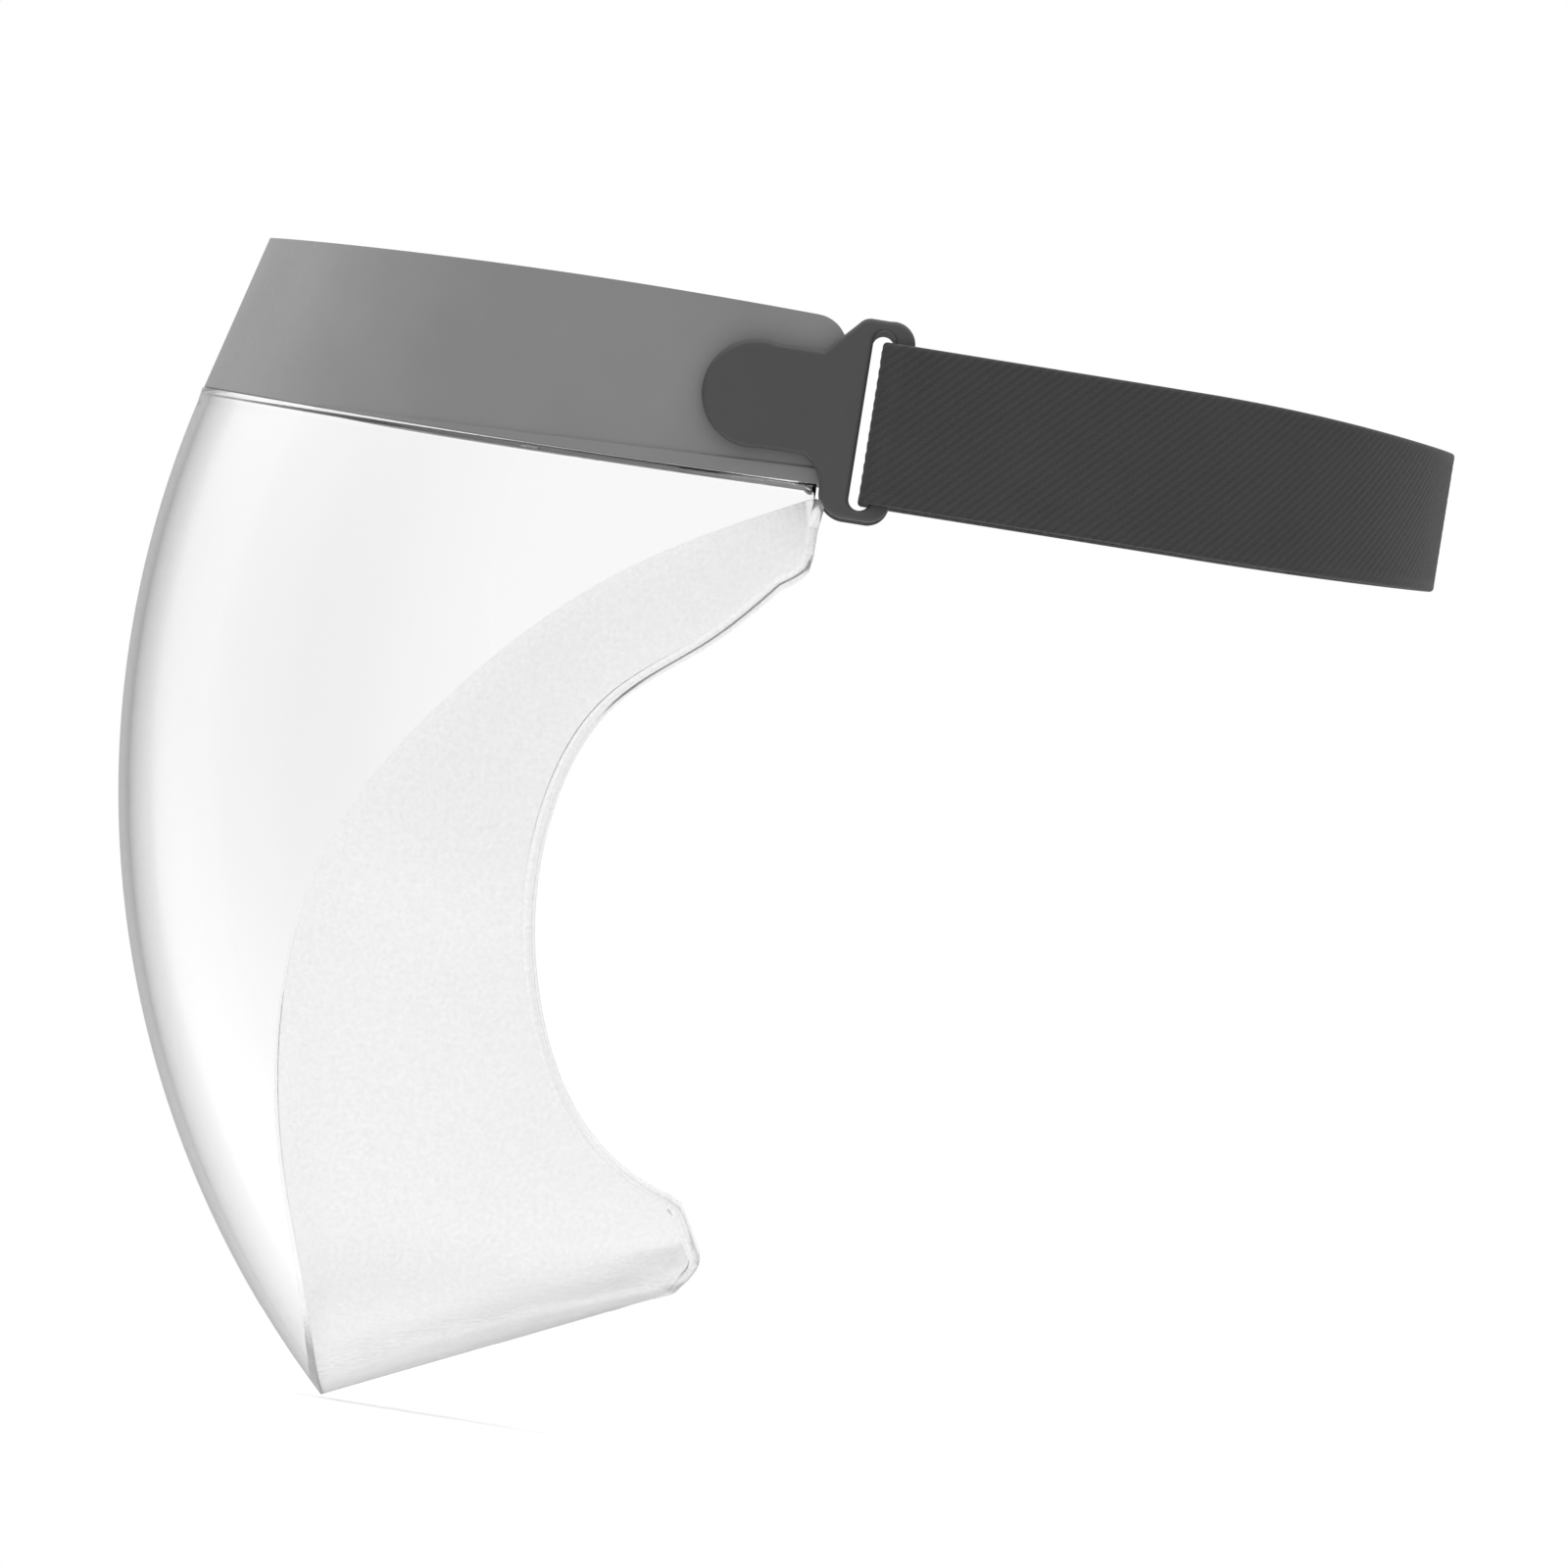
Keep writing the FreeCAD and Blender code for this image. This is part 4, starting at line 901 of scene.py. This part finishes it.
def skirt_frames():
    """Near and trimmed far points of the skirt's two faces, and its normals, on the left half."""
    near_out, near_in = crease_edge(0.0), crease_edge(WINDOW_WALL)
    shares = chord_lengths(near_out)
    shares /= shares[-1]
    knots = np.array([[x * HALF, *side_points([(y, z)])[0]] for _, y, z, x in SKIRT_STATIONS])
    far = smooth_curve(knots, [station[0] for station in SKIRT_STATIONS])(shares)
    far[-1, 0] = 0.0
    both_far = np.vstack([far, (far * (-1, 1, 1))[-2::-1]])
    both_near = np.vstack([near_out, (near_out * (-1, 1, 1))[-2::-1]])
    along = np.gradient(both_far, axis=0) + np.gradient(both_near, axis=0)
    normals = np.cross(along, both_far - both_near)
    normals /= np.linalg.norm(normals, axis=1)[:, None]
    if normals[0, 0] < 0:
        normals = -normals
    normals = normals[:len(far)]
    far_in = far - normals * SKIRT_WALL
    cuts = []
    for near, goal in ((near_out, far), (near_in, far_in)):
        share = np.array([trim_share(n, g, BEAD) for n, g in zip(near, goal)])
        cuts.append(near + (goal - near) * share[:, None])
    return near_out, near_in, *cuts, normals


def both_halves(left):
    return np.vstack([left, (left * (-1, 1, 1))[-2::-1]])


def make_skirt():
    """The skirt's two faces, open along the crease and along the bead."""
    near_out, near_in, cut_out, cut_in, normals = skirt_frames()
    columns = 28
    shares = np.linspace(0, 1, columns + 1)
    sheets = []
    for near, far in ((near_out, cut_out), (near_in, cut_in)):
        near, far = both_halves(near), both_halves(far)
        sheets.append((near[:, None] + (far - near)[:, None] * shares[None, :, None])
                      .reshape(-1, 3))
    rows, wide = 2 * len(near_out) - 1, columns + 1
    first = rows * wide
    faces = grid_faces(rows, wide, 0, True) + grid_faces(rows, wide, first)
    for row, turned in ((0, False), (rows - 1, True)):
        for k in range(columns):
            a = row * wide + k
            quad = (a, a + 1, first + a + 1, first + a)
            faces.append(quad[::-1] if turned else quad)
    skirt = new_object("skirt_shell", np.vstack(sheets) * MM, faces, "skirt_film")
    skirt.visible_shadow = False
    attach(skirt, "visor")
    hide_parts("face_skirt")

    make_bead(both_halves(near_out), both_halves(cut_out), both_halves(cut_in),
              both_halves(normals))


def make_bead(near, cut_out, cut_in, normals):
    """The soft edge bead, swept along the skirt's trimmed edge and open where it meets it."""
    middle = (cut_out + cut_in) / 2
    along = np.gradient(middle, axis=0)
    for _ in range(3):
        along[1:-1] = (along[:-2] + 2 * along[1:-1] + along[2:]) / 4
    along /= np.linalg.norm(along, axis=1)[:, None]
    outward = np.cross(along, normals)
    outward *= np.sign(np.sum(outward * (cut_out - near), axis=1))[:, None]
    half, proud = SKIRT_WALL / 2, BEAD_PROUD
    upper = [(0.3, half + 0.6 * proud), (0.8, half + proud), (1.3, half + proud),
             (1.8, half + 0.2 * proud), (2.1, 0.6 * half), (BEAD, 0.0)]
    profile = upper + [(e, -n) for e, n in upper[-2::-1]]
    points = []
    for start, centre, end, e_way, n_way in zip(cut_out, middle, cut_in, outward, normals):
        points.append(start)
        points += [centre + e_way * e + n_way * n for e, n in profile]
        points.append(end)
    ring, rows = len(profile) + 2, len(middle)
    points = np.array(points) * MM
    faces = [(i * ring + k, (i + 1) * ring + k, (i + 1) * ring + k + 1, i * ring + k + 1)
             for i in range(rows - 1) for k in range(ring - 1)]
    faces.append(tuple(reversed(range(ring))))
    faces.append(tuple(range((rows - 1) * ring, rows * ring)))
    bead = new_object("face_bead", points, faces, "seal_bead")
    tidy_normals(bead)
    bead.visible_shadow = False
    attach(bead, "visor")
    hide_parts("skirt_edge_seal")


make_window()
make_skirt()


# ---------------------------------------------------------------- floor and light

def make_floor():
    """A round sheet of pale paper that only the camera and the shadows meet."""
    reach, level = 1.6, cad_box[0][2] - 0.5 * MM
    mesh = bpy.data.meshes.new("floor")
    sides = 96
    ring = [(reach * math.cos(2 * math.pi * i / sides), reach * math.sin(2 * math.pi * i / sides),
             level) for i in range(sides)]
    mesh.from_pydata(ring, [], [tuple(range(sides))])
    floor = bpy.data.objects.new("floor", mesh)
    scene.collection.objects.link(floor)
    material = bpy.data.materials.new("floor_paper")
    tree = tree_of(material)
    where = add(tree, "ShaderNodeTexCoord").outputs["Object"]
    fibre = noise(tree, where, 900.0, 3.0)
    finish_material(tree, {"Base Color": blend_colour(tree, fibre, (0.90, 0.90, 0.90),
                                                      (0.93, 0.93, 0.93)),
                           "Roughness": 0.95, "Specular IOR Level": 0.0,
                           "Emission Color": (1, 1, 1, 1), "Emission Strength": 0.25})
    mesh.materials.append(material)
    floor.visible_glossy = floor.visible_diffuse = floor.visible_transmission = False


make_floor()


# How bright the room's wall is, by degrees round from the wearer's left towards the front.
ROOM_WALLS = [(-180, 0.6), (-120, 0.4), (-60, 0.2), (-20, 0.4), (10, 0.6), (40, 0.3), (60, 0.1),
              (75, 0.3), (95, 0.65), (108, 0.95), (122, 1.0), (135, 0.6), (150, 0.42),
              (165, 0.55), (180, 0.6)]
CEILING = 0.9
UNDERLIGHT = 0.6


def make_world():
    """A studio: a bright ceiling over a dim room. Whatever is seen directly or through the
    clear parts is plain white, and the room only lights the object and shows in its gloss."""
    world = bpy.data.worlds.new("studio")
    scene.world = world
    world.use_nodes = True
    tree = world.node_tree
    tree.nodes.clear()
    ray = add(tree, "ShaderNodeLightPath").outputs
    bounced = maths(tree, "ADD", ray["Glossy Depth"], ray["Diffuse Depth"])
    seen = maths(tree, "LESS_THAN", bounced, 0.5)
    where = add(tree, "ShaderNodeTexCoord").outputs["Generated"]
    parts = add(tree, "ShaderNodeSeparateXYZ", {"Vector": where}).outputs
    azimuth = maths(tree, "ARCTAN2", maths(tree, "MULTIPLY", parts["Y"], -1.0), parts["X"])
    wall = add(tree, "ShaderNodeFloatCurve", {"Value": span(tree, azimuth, -math.pi, math.pi,
                                                            0.0, 1.0)})
    curve = wall.mapping.curves[0]
    for degrees, level in ROOM_WALLS:
        spot = (degrees + 180) / 360
        if degrees in (-180, 180):
            curve.points[0 if degrees < 0 else -1].location = (spot, level)
        else:
            curve.points.new(spot, level)
    wall.mapping.update()
    up = span(tree, parts["Z"], 0.0, 0.75, 0.0, 1.0, smooth=True)
    down = span(tree, parts["Z"], -0.6, -0.05, 1.0, 0.0, smooth=True)
    ends = maths(tree, "ADD", maths(tree, "MULTIPLY", up, CEILING),
                 maths(tree, "MULTIPLY", down, UNDERLIGHT))
    level = maths(tree, "ADD", wall.outputs[0], ends)
    plain = add(tree, "ShaderNodeBackground", {"Color": (1, 1, 1, 1), "Strength": 1.0})
    room = add(tree, "ShaderNodeBackground", {"Color": (1, 1, 1, 1), "Strength": level})
    mix = add(tree, "ShaderNodeMixShader",
              {0: seen, 1: room.outputs[0], 2: plain.outputs[0]})
    add(tree, "ShaderNodeOutputWorld", {"Surface": mix.outputs[0]})


make_world()


def area_light(name, spot, target, wide, power):
    data = bpy.data.lights.new(name, "AREA")
    data.shape = "RECTANGLE"
    data.size, data.size_y = wide
    data.energy = power
    lamp = bpy.data.objects.new(name, data)
    spot, target = Vector(spot), Vector(target)
    lamp.location = spot
    lamp.rotation_euler = (target - spot).to_track_quat("-Z", "Y").to_euler()
    lamp.visible_glossy = lamp.visible_transmission = False
    scene.collection.objects.link(lamp)


area_light("key", (-0.84, -1.85, 0.25), (0, 0, -0.05), (1.3, 1.7), 11.5)
